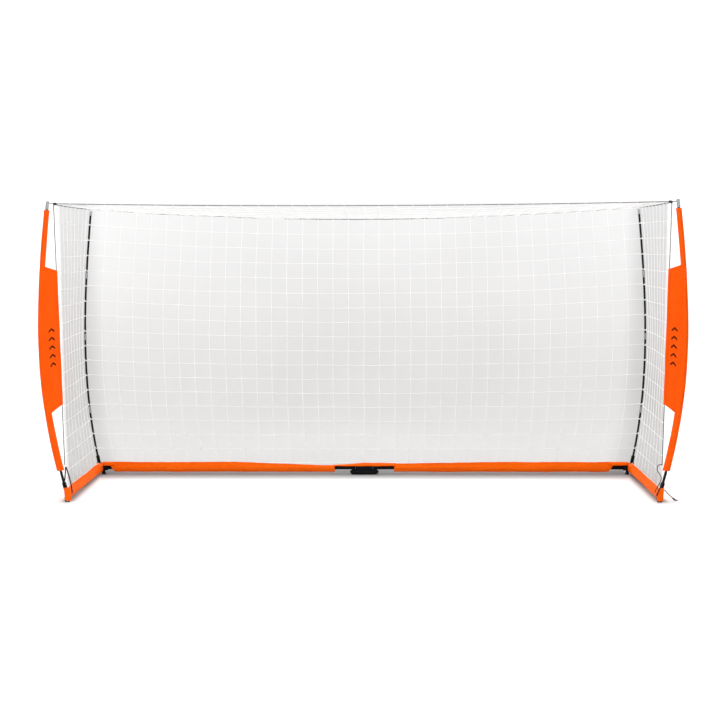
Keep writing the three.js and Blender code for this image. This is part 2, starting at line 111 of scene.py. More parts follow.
# ---- Camera and studio ----
CAMERA_PLACE = (0.136, -7.993, 1.610)
CAMERA_YAW = 0.0194
CAMERA_PITCH = 0.0965
CAMERA_ROLL = -0.0031
CAMERA_LENS = 61.96


def make_camera():
    """A camera a little right of the middle, turned, tipped slightly down and hardly rolled."""
    turn, tip, roll = CAMERA_YAW, CAMERA_PITCH, CAMERA_ROLL
    right = Vector((math.cos(turn), math.sin(turn), 0))
    ahead = Vector((-math.sin(turn) * math.cos(tip), math.cos(turn) * math.cos(tip), -math.sin(tip)))
    up = right.cross(ahead)
    level, above = right, up
    right = level * math.cos(roll) + above * math.sin(roll)
    up = above * math.cos(roll) - level * math.sin(roll)
    camera = bpy.data.objects.new("camera", bpy.data.cameras.new("camera"))
    camera.data.lens = CAMERA_LENS
    camera.data.clip_end = 100
    camera.matrix_world = Matrix((right, up, -ahead)).transposed().to_4x4()
    camera.location = CAMERA_PLACE
    bpy.context.scene.collection.objects.link(camera)
    bpy.context.scene.camera = camera


def area_light(name, place, target, size, power):
    """A rectangular light that faces its target."""
    light = bpy.data.objects.new(name, bpy.data.lights.new(name, "AREA"))
    light.data.shape = "RECTANGLE"
    light.data.size, light.data.size_y = size
    light.data.energy = power
    light.location = place
    light.rotation_euler = (Vector(target) - Vector(place)).to_track_quat("-Z", "Y").to_euler()
    bpy.context.scene.collection.objects.link(light)
    return light


# Name, place, target, size and power of each light; the one on the floor before the goal is last.
LIGHTS = (
    ("rear_top_light", (0, 2.0, 5.4), (0, 0.2, 0), (9, 1.6), 225),
    ("front_top_light", (0, -1.6, 5.4), (0, 0.2, 0), (9, 1.6), 205),
    ("rear_light_left", (-5.0, 3.0, 2.4), (0, 0.2, 0), (2.4, 2.4), 60),
    ("rear_light_right", (5.0, 3.0, 2.4), (0, 0.2, 0), (2.4, 2.4), 60),
    ("front_light", (-1.5, -10, 1.7), (0, 0, 0.8), (8, 2.4), 310),
    ("floor_light", (0, -5.2, 5), (0, -4.9, 0), (10, 2), 115),
)
FLOOR_LIGHT_SPREAD = math.radians(75)


def make_studio():
    """A white floor that runs up into a backdrop close behind, soft light from above and in front."""
    half, depth, rise, radius = 14, 4.2, 9, 1.6
    profile = [(-14, 0), (depth - radius, 0)]
    for i in range(1, 17):
        turn = math.pi / 2 * i / 16
        profile.append((depth - radius + radius * math.sin(turn), radius - radius * math.cos(turn)))
    profile.append((depth, rise))
    verts = [(x, y, z) for y, z in profile for x in (-half, half)]
    faces = [(2 * i, 2 * i + 1, 2 * i + 3, 2 * i + 2) for i in range(len(profile) - 1)]
    sweep = link_mesh("studio_sweep", verts, faces, smooth=True)
    sweep.data.materials.append(studio_paint())
    for light in LIGHTS:
        made = area_light(*light)
    made.data.spread = FLOOR_LIGHT_SPREAD
    bpy.context.scene.world = studio_air()
    bpy.context.scene.view_settings.view_transform = "Standard"


def studio_air():
    """Light all round: bright along the horizon, as from distant white walls, and dim above them."""
    world = bpy.data.worlds.new("studio")
    world.use_nodes = True
    tree = world.node_tree
    axes = tree.nodes.new("ShaderNodeSeparateXYZ")
    tree.links.new(coordinates(tree, "Generated"), axes.inputs["Vector"])
    level = node(tree, "ShaderNodeMapRange", To_Min=0.6, To_Max=0.05)
    tree.links.new(between(tree, axes.outputs["Z"], 0.24, 0.34), level.inputs["Value"])
    tree.links.new(level.outputs["Result"], tree.nodes["Background"].inputs["Strength"])
    tree.nodes["Background"].inputs["Color"].default_value = (1, 1, 1, 1)
    return world


# ---- Materials ----
def new_material(name, colour, roughness, metallic=0.0, **extra):
    """A material whose shader has these plain values; returns it with its node tree and its shader."""
    material = bpy.data.materials.new(name)
    material.use_nodes = True
    tree = material.node_tree
    shader = tree.nodes["Principled BSDF"]
    shader.inputs["Base Color"].default_value = (*colour, 1)
    shader.inputs["Roughness"].default_value = roughness
    shader.inputs["Metallic"].default_value = metallic
    for socket, value in extra.items():
        shader.inputs[socket.replace("_", " ")].default_value = value
    return material, tree, shader


def node(tree, kind, **values):
    """A shader node with its inputs set by name and its own settings by attribute."""
    made = tree.nodes.new(kind)
    for key, value in values.items():
        name = key.replace("_", " ")
        if name in made.inputs:
            made.inputs[name].default_value = value
        else:
            setattr(made, key, value)
    return made


def coordinates(tree, kind="Object"):
    """Where a point of the surface is, in the piece's own space unless another kind is asked for."""
    return tree.nodes.new("ShaderNodeTexCoord").outputs[kind]


def noise_of(tree, where, scale, detail=4.0):
    """A smooth random value with this many changes a metre."""
    made = node(tree, "ShaderNodeTexNoise", Scale=scale, Detail=detail)
    tree.links.new(where, made.inputs["Vector"])
    return made.outputs["Fac"]


def ramp_of(tree, value, low, high, start=0.35, end=0.65):
    """The colour that goes from low to high as the value goes from start to end."""
    made = tree.nodes.new("ShaderNodeValToRGB")
    made.color_ramp.elements[0].position = start
    made.color_ramp.elements[1].position = end
    made.color_ramp.elements[0].color = (*low, 1)
    made.color_ramp.elements[1].color = (*high, 1)
    tree.links.new(value, made.inputs["Fac"])
    return made.outputs["Color"]


def shades(colour, spread):
    """The colour a share darker and the same share lighter."""
    return tuple(c * (1 - spread) for c in colour), tuple(min(1, c * (1 + spread)) for c in colour)


def bump_of(tree, shader, height, distance, strength=1.0, under=None):
    """Gives the shader a bump by this height, on top of the bump under it; returns the result."""
    made = node(tree, "ShaderNodeBump", Strength=strength, Distance=distance)
    tree.links.new(height, made.inputs["Height"])
    if under is not None:
        tree.links.new(under, made.inputs["Normal"])
    tree.links.new(made.outputs["Normal"], shader.inputs["Normal"])
    return made.outputs["Normal"]


def mixed(tree, a, b, kind="ADD"):
    """Two values put together by one operation, a sum unless another kind is asked for."""
    made = node(tree, "ShaderNodeMath", operation=kind)
    tree.links.new(a, made.inputs[0])
    tree.links.new(b, made.inputs[1])
    return made.outputs[0]


def wave_of(tree, where, scale, direction, distortion=0.0):
    """Bands that follow each other in one direction."""
    made = node(tree, "ShaderNodeTexWave", Scale=scale, Distortion=distortion)
    made.bands_direction = direction
    tree.links.new(where, made.inputs["Vector"])
    return made.outputs["Fac"]


def between(tree, value, start, end):
    """A smooth 0 to 1 as the value goes from start to end."""
    made = node(tree, "ShaderNodeMapRange", From_Min=start, From_Max=end)
    made.interpolation_type = "SMOOTHSTEP"
    tree.links.new(value, made.inputs["Value"])
    return made.outputs["Result"]


STUDIO_WHITE = (0.95, 0.95, 0.95)
FIELD_GREY = (0.75, 0.75, 0.75)
# The field's grey at floor level: painted shade, darker than the grey higher up.
FIELD_LOW_GREY = (0.585, 0.577, 0.572)
FIELD_HALF = 1.95
FIELD_SPREAD = 0.247
FIELD_DRIFT = 0.018
FIELD_TOP = 1.95
FIELD_FADE = 0.06
FIELD_SIDE_DIM = 0.80
# How dark the painted shadow about the goal's base gets: the floor keeps this share of its colour.
PAINTED_SHADOW_DEPTH = 0.38


def scaled_sum(tree, a, scale, b):
    """a times a number, plus b."""
    made = node(tree, "ShaderNodeMath", operation="MULTIPLY_ADD")
    tree.links.new(a, made.inputs[0])
    made.inputs[1].default_value = scale
    tree.links.new(b, made.inputs[2])
    return made.outputs[0]


def product(tree, *factors):
    """All the factors multiplied."""
    total = factors[0]
    for factor in factors[1:]:
        total = mixed(tree, total, factor, "MULTIPLY")
    return total


def field_reach(tree, aside, beside, y, z):
    """How much of the grey field shows: behind and beside the goal, up to just over its top."""
    reach = mixed(tree, between(tree, y, 0.42, 0.50), between(tree, aside, 1.82, 1.85), "MAXIMUM")
    reach = product(tree, reach, between(tree, y, -0.1, 0.1))
    reach = product(tree, reach, between(tree, beside, FIELD_HALF + 0.02, FIELD_HALF - 0.03))
    return product(tree, reach, between(tree, z, FIELD_TOP + FIELD_FADE, FIELD_TOP))


def field_grey(tree, beside, z):
    """The field's grey: darker low down as painted shade, deeper at its two sides, with a faint drift."""
    shade = node(tree, "ShaderNodeMix", data_type="RGBA")
    # Painted shade: the grey darkens from the top of the field down to the floor.
    tree.links.new(between(tree, z, -0.1, 1.9), shade.inputs["Factor"])
    shade.inputs["A"].default_value = (*FIELD_LOW_GREY, 1)
    shade.inputs["B"].default_value = (*FIELD_GREY, 1)
    dim = node(tree, "ShaderNodeMapRange", To_Min=1, To_Max=FIELD_SIDE_DIM)
    tree.links.new(between(tree, beside, 1.5, 1.72), dim.inputs["Value"])
    drift = ramp_of(tree, noise_of(tree, coordinates(tree), 0.7), (0.97,) * 3, (1,) * 3)
    deep = node(tree, "ShaderNodeVectorMath", operation="MULTIPLY")
    tree.links.new(product(tree, dim.outputs["Result"], drift), deep.inputs[0])
    tree.links.new(shade.outputs["Result"], deep.inputs[1])
    return deep.outputs[0]


def painted_base_shadow(tree, aside, y):
    """Painted shadow on the floor: along the back tube, from just before it, and under each arm."""
    behind = product(tree, between(tree, y, 0.17, 0.42), between(tree, aside, 1.86, 1.80),
                     between(tree, y, 0.85, 0.55))
    beneath = product(tree, between(tree, aside, 1.765, 1.83), between(tree, aside, 1.89, 1.85),
                      between(tree, y, -0.50, -0.42), between(tree, y, 0.50, 0.44))
    # Painted shadow: the floor's colour is darkened here, where the base's shadow falls at rest.
    painted_shadow = node(tree, "ShaderNodeMapRange", To_Min=1, To_Max=PAINTED_SHADOW_DEPTH)
    tree.links.new(mixed(tree, behind, beneath, "MAXIMUM"), painted_shadow.inputs["Value"])
    return painted_shadow.outputs["Result"]


def studio_paint():
    """White, with a pale-grey field behind the goal for white twine, and a painted shadow about its base.

    Its far side is clear, so the goal can be seen from behind the backdrop.
    """
    material, tree, shader = new_material("studio_paint", STUDIO_WHITE, 0.95, Specular_IOR_Level=0.1)
    axes = tree.nodes.new("ShaderNodeSeparateXYZ")
    tree.links.new(coordinates(tree), axes.inputs["Vector"])
    x, y, z = (axes.outputs[axis] for axis in "XYZ")
    centred = node(tree, "ShaderNodeMath", operation="ABSOLUTE")
    tree.links.new(scaled_sum(tree, y, FIELD_DRIFT, x), centred.inputs[0])
    aside = centred.outputs[0]
    beside = scaled_sum(tree, y, -FIELD_SPREAD, aside)
    paint = node(tree, "ShaderNodeMix", data_type="RGBA")
    tree.links.new(field_reach(tree, aside, beside, y, z), paint.inputs["Factor"])
    paint.inputs["A"].default_value = (*STUDIO_WHITE, 1)
    tree.links.new(field_grey(tree, beside, z), paint.inputs["B"])
    shaded = node(tree, "ShaderNodeVectorMath", operation="SCALE")
    tree.links.new(paint.outputs["Result"], shaded.inputs[0])
    # The painted shadow about the base darkens the paint.
    tree.links.new(painted_base_shadow(tree, aside, y), shaded.inputs["Scale"])
    tree.links.new(shaded.outputs[0], shader.inputs["Base Color"])
    clear_behind = tree.nodes.new("ShaderNodeMixShader")
    far_side = tree.nodes.new("ShaderNodeNewGeometry").outputs["Backfacing"]
    tree.links.new(far_side, clear_behind.inputs["Fac"])
    tree.links.new(shader.outputs[0], clear_behind.inputs[1])
    tree.links.new(tree.nodes.new("ShaderNodeBsdfTransparent").outputs[0], clear_behind.inputs[2])
    tree.links.new(clear_behind.outputs[0], tree.nodes["Material Output"].inputs["Surface"])
    return material


def woven_cloth(name, colour):
    """Coated nylon: a plain weave in three directions, soft creases and a faint uneven dye."""
    material, tree, shader = new_material(name, colour, 0.65, Specular_IOR_Level=0.06)
    where = coordinates(tree)
    dye = mixed(tree, noise_of(tree, where, 6), noise_of(tree, where, 55), "MULTIPLY")
    tone = ramp_of(tree, dye, *shades(colour, 0.09), start=0.12, end=0.4)
    tree.links.new(tone, shader.inputs["Base Color"])
    rough = node(tree, "ShaderNodeMapRange", From_Min=0.3, From_Max=0.7, To_Min=0.46, To_Max=0.66)
    tree.links.new(noise_of(tree, where, 30), rough.inputs["Value"])
    tree.links.new(rough.outputs["Result"], shader.inputs["Roughness"])
    warp = mixed(tree, wave_of(tree, where, 330, "X", 0.4), wave_of(tree, where, 330, "Y", 0.4))
    weave = mixed(tree, warp, wave_of(tree, where, 330, "Z", 0.4))
    creases = bump_of(tree, shader, noise_of(tree, where, 38, 6), 0.0020, 0.8)
    bump_of(tree, shader, weave, 0.00012, 0.5, under=creases)
    return material


def grained(name, colour, roughness, metallic, specular, tones, grain):
    """A material whose tone drifts between two colours with a noise of this grain."""
    material, tree, shader = new_material(name, colour, roughness, metallic, Specular_IOR_Level=specular)
    tone = ramp_of(tree, noise_of(tree, coordinates(tree), grain), *tones)
    tree.links.new(tone, shader.inputs["Base Color"])
    return material, tree, shader


def printed_ink():
    tones = (0.03, 0.005, 0.002), (0.08, 0.012, 0.004)
    return grained("printed_ink", (0.05, 0.008, 0.003), 0.8, 0, 0.05, tones, 160)[0]


def powder_coat():
    tones = (0.002, 0.002, 0.003), (0.005, 0.005, 0.006), 0.4, 0.75
    material, tree, shader = grained("powder_coat", (0.003, 0.003, 0.004), 0.6, 0, 0.1, tones, 40)
    bump_of(tree, shader, noise_of(tree, coordinates(tree), 900, 2), 0.0002, 0.5)
    return material


def fibreglass():
    colour = (0.004, 0.004, 0.005)
    material, tree, shader = new_material("fibreglass", colour, 0.5, Specular_IOR_Level=0.12)
    where = node(tree, "ShaderNodeMapping")
    where.inputs["Scale"].default_value = (1, 1, 0.03)
    tree.links.new(coordinates(tree), where.inputs["Vector"])
    streaks = noise_of(tree, where.outputs["Vector"], 700)
    tone = ramp_of(tree, streaks, (0.002, 0.002, 0.003), (0.007, 0.007, 0.008))
    tree.links.new(tone, shader.inputs["Base Color"])
    bump_of(tree, shader, streaks, 0.0001, 0.4)
    return material


def bright_metal():
    tones = (0.22, 0.22, 0.23), (0.36, 0.36, 0.37)
    material, tree, shader = grained("bright_metal", (0.30, 0.30, 0.31), 0.4, 1.0, 0.5, tones, 120)
    bump_of(tree, shader, wave_of(tree, coordinates(tree), 700, "Z", 1.0), 0.00005, 0.4)
    return material


def grey_plastic():
    colour = (0.34, 0.35, 0.36)
    material, tree, shader = grained("grey_plastic", colour, 0.35, 0, 0.5, shades(colour, 0.12), 90)
    bump_of(tree, shader, noise_of(tree, coordinates(tree), 1200, 2), 0.0001, 0.3)
    return material


def moulded_rubber():
    tones = (0.003, 0.003, 0.004), (0.007, 0.007, 0.007)
    material, tree, shader = grained("moulded_rubber", (0.004, 0.004, 0.005), 0.75, 0, 0.15, tones, 60)
    bump_of(tree, shader, noise_of(tree, coordinates(tree), 1500, 3), 0.0003, 0.6)
    return material


def twisted_twine():
    """White polyester twine: fine plies that turn round the strand, by its own UV."""
    material, tree, shader = new_material("twisted_twine", (0.93, 0.93, 0.92), 0.7)
    where = coordinates(tree, "UV")
    plies = wave_of(tree, where, 1, "DIAGONAL")
    tone = ramp_of(tree, noise_of(tree, coordinates(tree), 25), (0.86, 0.86, 0.85), (0.97, 0.97, 0.96))
    tree.links.new(tone, shader.inputs["Base Color"])
    bump_of(tree, shader, plies, 0.0004, 0.6)
    return material


def braided_cord(name, colour):
    """A braided sheath: two sets of bands that cross, by the cord's own UV."""
    material, tree, shader = new_material(name, colour, 0.65, Specular_IOR_Level=0.3)
    where = coordinates(tree, "UV")
    flip = node(tree, "ShaderNodeMapping")
    flip.inputs["Scale"].default_value = (-1, 1, 1)
    tree.links.new(where, flip.inputs["Vector"])
    bands = wave_of(tree, where, 1.5, "DIAGONAL")
    crossing = wave_of(tree, flip.outputs["Vector"], 1.5, "DIAGONAL")
    braid = mixed(tree, bands, crossing)
    tone = ramp_of(tree, braid, *shades(colour, 0.45), start=0.4, end=1.0)
    tree.links.new(tone, shader.inputs["Base Color"])
    bump_of(tree, shader, braid, 0.0004, 0.6)
    return material


# ---- Mesh helpers ----
def link_mesh(name, verts, faces, smooth=True, uvs=None):
    """A new piece in the scene with this mesh."""
    mesh = bpy.data.meshes.new(name)
    mesh.from_pydata([tuple(v) for v in verts], [], [tuple(f) for f in faces])
    if uvs is not None:
        layer = mesh.uv_layers.new(name="along")
        layer.data.foreach_set("uv", np.asarray(uvs, np.float32).ravel())
    mesh.polygons.foreach_set("use_smooth", [smooth] * len(mesh.polygons))
    mesh.update()
    made = bpy.data.objects.new(name, mesh)
    bpy.context.scene.collection.objects.link(made)
    return made


class Heap:
    """Gathers vertices, faces and UVs of many small bodies into one mesh."""

    def __init__(self):
        self.verts, self.faces, self.uvs = [], [], []

    def add(self, verts, faces, uvs=None):
        base = len(self.verts)
        self.verts.extend(verts)
        self.faces.extend(tuple(i + base for i in face) for face in faces)
        for index, face in enumerate(faces):
            self.uvs.extend(uvs[index] if uvs is not None else [(0, 0)] * len(face))

    def tube(self, points, radius, sides=8, closed=False):
        """A round strand along points; radius is one number or one for each point."""
        p = np.asarray(points, float)
        count = len(p)
        radii = np.broadcast_to(np.asarray(radius, float), (count,))
        tangent = np.gradient(p, axis=0)
        if closed:
            tangent = np.roll(p, -1, axis=0) - np.roll(p, 1, axis=0)
        tangent /= np.linalg.norm(tangent, axis=1)[:, None]
        normal = np.empty_like(p)
        seed = np.cross(tangent[0], (0, 0, 1) if abs(tangent[0][2]) < 0.9 else (1, 0, 0))
        normal[0] = seed / np.linalg.norm(seed)
        for i in range(1, count):
            v = normal[i - 1] - tangent[i] * np.dot(normal[i - 1], tangent[i])
            normal[i] = v / np.linalg.norm(v)
        side = np.cross(tangent, normal)
        angles = (2 * math.pi * np.arange(sides) / sides)[None, :, None]
        ring = np.cos(angles) * normal[:, None] + np.sin(angles) * side[:, None]
        verts = (p[:, None] + radii[:, None, None] * ring).reshape(-1, 3)
        steps = np.linalg.norm(np.diff(p, axis=0), axis=1)
        along = np.concatenate([[0], np.cumsum(steps)]) / (2 * math.pi * radii.mean())
        faces, uvs = [], []
        for i in range(count if closed else count - 1):
            j = (i + 1) % count
            far = along[j] if j else along[i] + 1
            for k in range(sides):
                m = (k + 1) % sides
                faces.append((i * sides + k, i * sides + m, j * sides + m, j * sides + k))
                a, b = k / sides, (k + 1) / sides
                uvs.append([(along[i], a), (along[i], b), (far, b), (far, a)])
        if not closed:
            faces.append(tuple(range(sides - 1, -1, -1)))
            faces.append(tuple((count - 1) * sides + k for k in range(sides)))
            uvs.extend([[(0, 0)] * sides] * 2)
        self.add(verts.tolist(), faces, uvs)

    def ring(self, centre, axis, radius, thickness, steps=12, sides=5):
        """A closed loop of twine or wire."""
        turn = Vector(axis).to_track_quat("Z", "Y")
        points = [Vector(centre) + turn @ Vector((radius * math.cos(a), radius * math.sin(a), 0))
                  for a in (2 * math.pi * i / steps for i in range(steps))]
        self.tube(points, thickness, sides, closed=True)

    def knot(self, centre, size):
        """A small pointed lump with six sides, as a net's knot."""
        x, y, z = centre
        verts, faces = [(x, y, z - size)], []
        for level, width in ((-0.45, 0.9), (0.45, 0.9)):
            for k in range(6):
                a = math.pi / 3 * k
                reach = size * width
                verts.append((x + reach * math.cos(a), y + reach * math.sin(a), z + size * level))
        verts.append((x, y, z + size))
        for k in range(6):
            m = (k + 1) % 6
            faces += [(0, 1 + m, 1 + k), (1 + k, 1 + m, 7 + m, 7 + k), (13, 7 + k, 7 + m)]
        self.add(verts, faces)

    def make(self, name, material, smooth=True):
        made = link_mesh(name, self.verts, self.faces, smooth, self.uvs)
        made.data.materials.append(material)
        return made


def shell(name, rings, material):
    """An open-ended sleeve of cloth with a real thickness, lofted through closed rings of points."""
    outer = np.asarray(rings, float)
    count, around = outer.shape[:2]
    centre = outer.mean(axis=1, keepdims=True)
    run = np.gradient(centre, axis=0)
    out = np.cross(np.roll(outer, -1, axis=1) - np.roll(outer, 1, axis=1), run)
    out /= np.linalg.norm(out, axis=2, keepdims=True)
    if ((outer - centre) * out).sum() < 0:
        out = -out
    inner = outer - out * CLOTH
    verts = np.concatenate([outer.reshape(-1, 3), inner.reshape(-1, 3)])
    faces, half = [], count * around
    for i in range(count - 1):
        for k in range(around):
            m = (k + 1) % around
            a, b, c, d = i * around + k, i * around + m, (i + 1) * around + m, (i + 1) * around + k
            faces += [(a, b, c, d), (half + d, half + c, half + b, half + a)]
    for i in (0, count - 1):
        for k in range(around):
            m = (k + 1) % around
            quad = (i * around + k, half + i * around + k, half + i * around + m, i * around + m)
            faces.append(quad if i == 0 else quad[::-1])
    made = link_mesh(name, verts, faces)
    made.data.materials.append(material)
    face_out(made)
    return made


def slab(name, grid_front, grid_back, material):
    """A closed sheet between two matching grids of points."""
    front, back = np.asarray(grid_front, float), np.asarray(grid_back, float)
    rows, columns = front.shape[:2]
    verts = np.concatenate([front.reshape(-1, 3), back.reshape(-1, 3)])
    half, faces = rows * columns, []
    for i in range(rows - 1):
        for j in range(columns - 1):
            a = i * columns + j
            quad = (a, a + 1, a + columns + 1, a + columns)
            faces += [quad, tuple(half + q for q in quad[::-1])]
    edge = list(range(columns))
    edge += [i * columns + columns - 1 for i in range(1, rows)]
    edge += [(rows - 1) * columns + j for j in range(columns - 2, -1, -1)]
    edge += [i * columns for i in range(rows - 2, 0, -1)]
    for a, b in zip(edge, edge[1:] + edge[:1]):
        faces.append((b, a, half + a, half + b))
    made = link_mesh(name, verts, faces)
    made.data.materials.append(material)
    face_out(made)
    return made


def sheet(name, rows, columns, pair_at, material):
    """A closed sheet of cloth; pair_at(u, v) gives its front and back point, u across and v along."""
    pairs = [[pair_at(j / columns, i / rows) for j in range(columns + 1)] for i in range(rows + 1)]
    front, back = ([[pair[face] for pair in row] for row in pairs] for face in (0, 1))
    return slab(name, front, back, material)


def face_out(piece):
    """Turns a closed mesh's faces outwards."""
    mesh = piece.data
    mesh.calc_loop_triangles()
    co = np.array([v.co for v in mesh.vertices])
    tri = np.array([t.vertices for t in mesh.loop_triangles])
    volume = np.einsum("ij,ij->i", co[tri[:, 0]], np.cross(co[tri[:, 1]], co[tri[:, 2]])).sum()
    if volume < 0:
        mesh.flip_normals()


def wobble(x, y, z, scale, seed=0.0):
    """A smooth random value, about -1 to 1, that goes through its changes this many times a metre."""
    return noise.noise(Vector((x * scale + seed, y * scale + 3.7 * seed, z * scale - seed)))


def smooth_step(t):
    """An eased 0 to 1 as t goes from 0 to 1, and level beyond."""
    t = min(1, max(0, t))
    return t * t * (3 - 2 * t)


def lerp(a, b, t):
    return a + (b - a) * t


# ---- Curves of the goal ----
def pole_curve(base, tip, leans, handle):
    """Points (x, z) of a pole that leans out of its socket and comes back inwards at its tip."""
    low, high = (math.radians(lean) for lean in leans)
    knots = [base, (base[0] + handle * math.sin(low), base[1] + handle * math.cos(low)),
             (tip[0] + handle * math.sin(high), tip[1] - handle * math.cos(high)), tip]

    def point(t):
        weights = ((1 - t) ** 3, 3 * t * (1 - t) ** 2, 3 * t * t * (1 - t), t ** 3)
        return tuple(sum(w * knot[axis] for w, knot in zip(weights, knots)) for axis in (0, 1))

    return [point(i / 400) for i in range(401)]


BOW = pole_curve((FOOT_X, TUBE_Z), BOW_TIP, BOW_LEANS, BOW_HANDLE)
REAR_POLE = pole_curve((REAR_POLE_BASE_X, TUBE_Z), REAR_POLE_TOP, REAR_LEANS, REAR_HANDLE)


def x_at(curve, z):
    """How far out the curve is at a height."""
    heights = [p[1] for p in curve]
    return float(np.interp(z, heights, [p[0] for p in curve]))


def front_edge_x(z):
    """How far out the net's straight front edge is at a height."""
    return lerp(NET_FOOT_X, NET_CORNER_X, (z - NET_LOW) / (NET_HEIGHT - NET_LOW))


def front_top_z(x):
    """The height of the sagging cord between the bows' tips."""
    return NET_HEIGHT + 0.006 - FRONT_SAG * (1 - (x / NET_CORNER_X) ** 2)


def rear_top_z(x):
    """The height of the sagging cord between the rear poles."""
    return NET_HEIGHT - 0.005 - REAR_SAG * (1 - (x / REAR_POLE_TOP[0]) ** 2)


def curve_points(curve, y, z0, z1, step, side):
    """Points (x, y, z) along a pole's curve between two heights, on one side."""
    count = max(2, round((z1 - z0) / step))
    heights = [lerp(z0, z1, i / count) for i in range(count + 1)]
    return [(side * x_at(curve, z), y, z) for z in heights]


# ---- Base frame: tubes, brackets, feet and bolts ----
EDGE_ANGLE = math.radians(35)


def bevelled(name, material, width, segments=2):
    """The CAD node's own shape with its edges broken and its round faces smooth."""
    source = frame["nodes"][name]
    piece = bpy.data.objects.new(name + "_finish", source.data.copy())
    bpy.context.scene.collection.objects.link(piece)
    weld = piece.modifiers.new("weld", "WELD")
    weld.merge_threshold = 0.00002
    bevel = piece.modifiers.new("bevel", "BEVEL")
    bevel.width = width
    bevel.segments = segments
    bevel.limit_method = "ANGLE"
    bevel.angle_limit = EDGE_ANGLE
    apply_modifiers(piece)
    piece.data.shade_smooth()
    piece.data.set_sharp_from_angle(angle=EDGE_ANGLE)
    piece.data.materials.clear()
    piece.data.materials.append(material)
    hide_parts(name)
    return piece


def apply_modifiers(piece):
    """Replaces a piece's mesh by what its modifiers make of it."""
    graph = bpy.context.evaluated_depsgraph_get()
    mesh = bpy.data.meshes.new_from_object(piece.evaluated_get(graph))
    piece.modifiers.clear()
    piece.data = mesh


def tube_piece(name, points, radius, material, sides=24):
    """One round strand as a piece of its own."""
    heap = Heap()
    heap.tube(points, radius, sides)
    return heap.make(name, material)


def make_hub(paint):
    """The hub's bracket, bolts and rubber foot, and the cloth strip over them."""
    for name in ("hub_bracket", "left_hub_bolt", "right_hub_bolt"):
        place(bevelled(name, paint["steel"], 0.001, 3), "hub", "steel")
    place(hub_puck(paint["rubber"]), "hub", "rubber", "hub_foot")
    for side, sign in SIDES.items():
        strip = hub_strip(side, sign, paint["cloth"])
        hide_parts("hub_flap")
        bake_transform(strip)


def hub_puck(material):
    """The oval rubber foot: tucked in at the ground, full in the middle and rounded over on top."""
    low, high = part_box("hub_foot")
    straight, radius = (high.x - low.x) / 2 - (high.y - low.y) / 2, (high.y - low.y) / 2
    profile = ((0.0, 0.022), (0.0012, 0.015), (0.004, 0.009), (0.009, 0.0035), (0.015, 0.0005),
               (0.019, 0), (0.023, 0.0018), (0.0265, 0.006), (high.z - low.z, 0.012))
    heap, around = Heap(), 56
    verts = []
    for z, inset in profile:
        for k in range(around):
            a = 2 * math.pi * k / around
            x = math.copysign(straight, math.cos(a)) + (radius - inset) * math.cos(a)
            verts.append((x, REAR_Y + (radius - inset) * math.sin(a), low.z + z))
    faces = [tuple(range(around - 1, -1, -1)), tuple(range(len(verts) - around, len(verts)))]
    for i in range(len(profile) - 1):
        for k in range(around):
            m = (k + 1) % around
            faces.append((i * around + k, i * around + m, (i + 1) * around + m, (i + 1) * around + k))
    heap.add(verts, faces)
    return heap.make("hub_puck", material)


HUB_STRIP_HALF = 0.215
HUB_STRIP_TOPS = {-0.215: 0.064, -0.10: 0.070, 0.0: 0.079, 0.10: 0.078, 0.215: 0.076}
FOLD_WAIST = 0.049


def fold_outline(half, low_front, low_back, top, steps=14):
    """Outline (across, z) of cloth folded over the tube, from its front edge round to its back edge."""
    start = math.asin(min(1, (low_front - FOLD_WAIST) / (top - FOLD_WAIST)))
    turns = [lerp(start, math.pi, i / steps) for i in range(steps + 1)]
    points = [(-half * math.cos(a), FOLD_WAIST + (top - FOLD_WAIST) * math.sin(a)) for a in turns]
    return points + [(half, lerp(FOLD_WAIST, low_back, i / 3)) for i in (1, 2, 3)]


def folded_cloth(name, stations_x, sign, outline_at, material):
    """Cloth folded along the back tube; outline_at(x) gives its outline at each place."""
    outer, inner = [], []
    for x in stations_x:
        points = np.array(outline_at(x))
        run = np.gradient(points, axis=0)
        run /= np.linalg.norm(run, axis=1)[:, None]
        out = np.column_stack([-run[:, 1], run[:, 0]])
        for rows, offset in ((outer, 0.0006), (inner, -0.0006)):
            rows.append([(sign * x, REAR_Y + across, z) for across, z in points + out * offset])
    return slab(name, outer, inner, material)


def hub_strip(side, sign, material):
    """Half of the cloth strip that joins the two back sleeves over the hub."""
    def outline_at(x):
        top = float(np.interp(sign * x, list(HUB_STRIP_TOPS), list(HUB_STRIP_TOPS.values())))
        half = lerp(0.0190, 0.0146, smooth_step((x - 0.10) / 0.07))
        half += 0.0006 * wobble(x, 0, 0, 30, 2.0 + sign)
        low = 0.0580 + 0.0012 * wobble(sign * x, 0, 0, 18)
        return fold_outline(half, low, 0.046, top)

    xs = [HUB_STRIP_HALF * i / 32 for i in range(33)]
    return folded_cloth(f"hub_strip_{side}", xs, sign, outline_at, material)


BASE_METAL = (
    ("back_tube", "half", "steel", 0.0006),
    ("corner_bracket", "half", "steel", 0.0010),
    ("corner_foot", "half", "rubber", 0.0015),
    ("arm_pivot_bolt", "half", "steel", 0.0006),
    ("arm_tube", "arm", "steel", 0.0006),
    ("front_foot", "arm", "rubber", 0.0015),
)


def make_base_metal(side, paint):
    """The hard pieces of one side, each with its edges broken by its own width."""
    for part, body, slot, width in BASE_METAL:
        place(bevelled(f"{side}_{part}", paint[slot], width), f"{side}_{body}", slot)


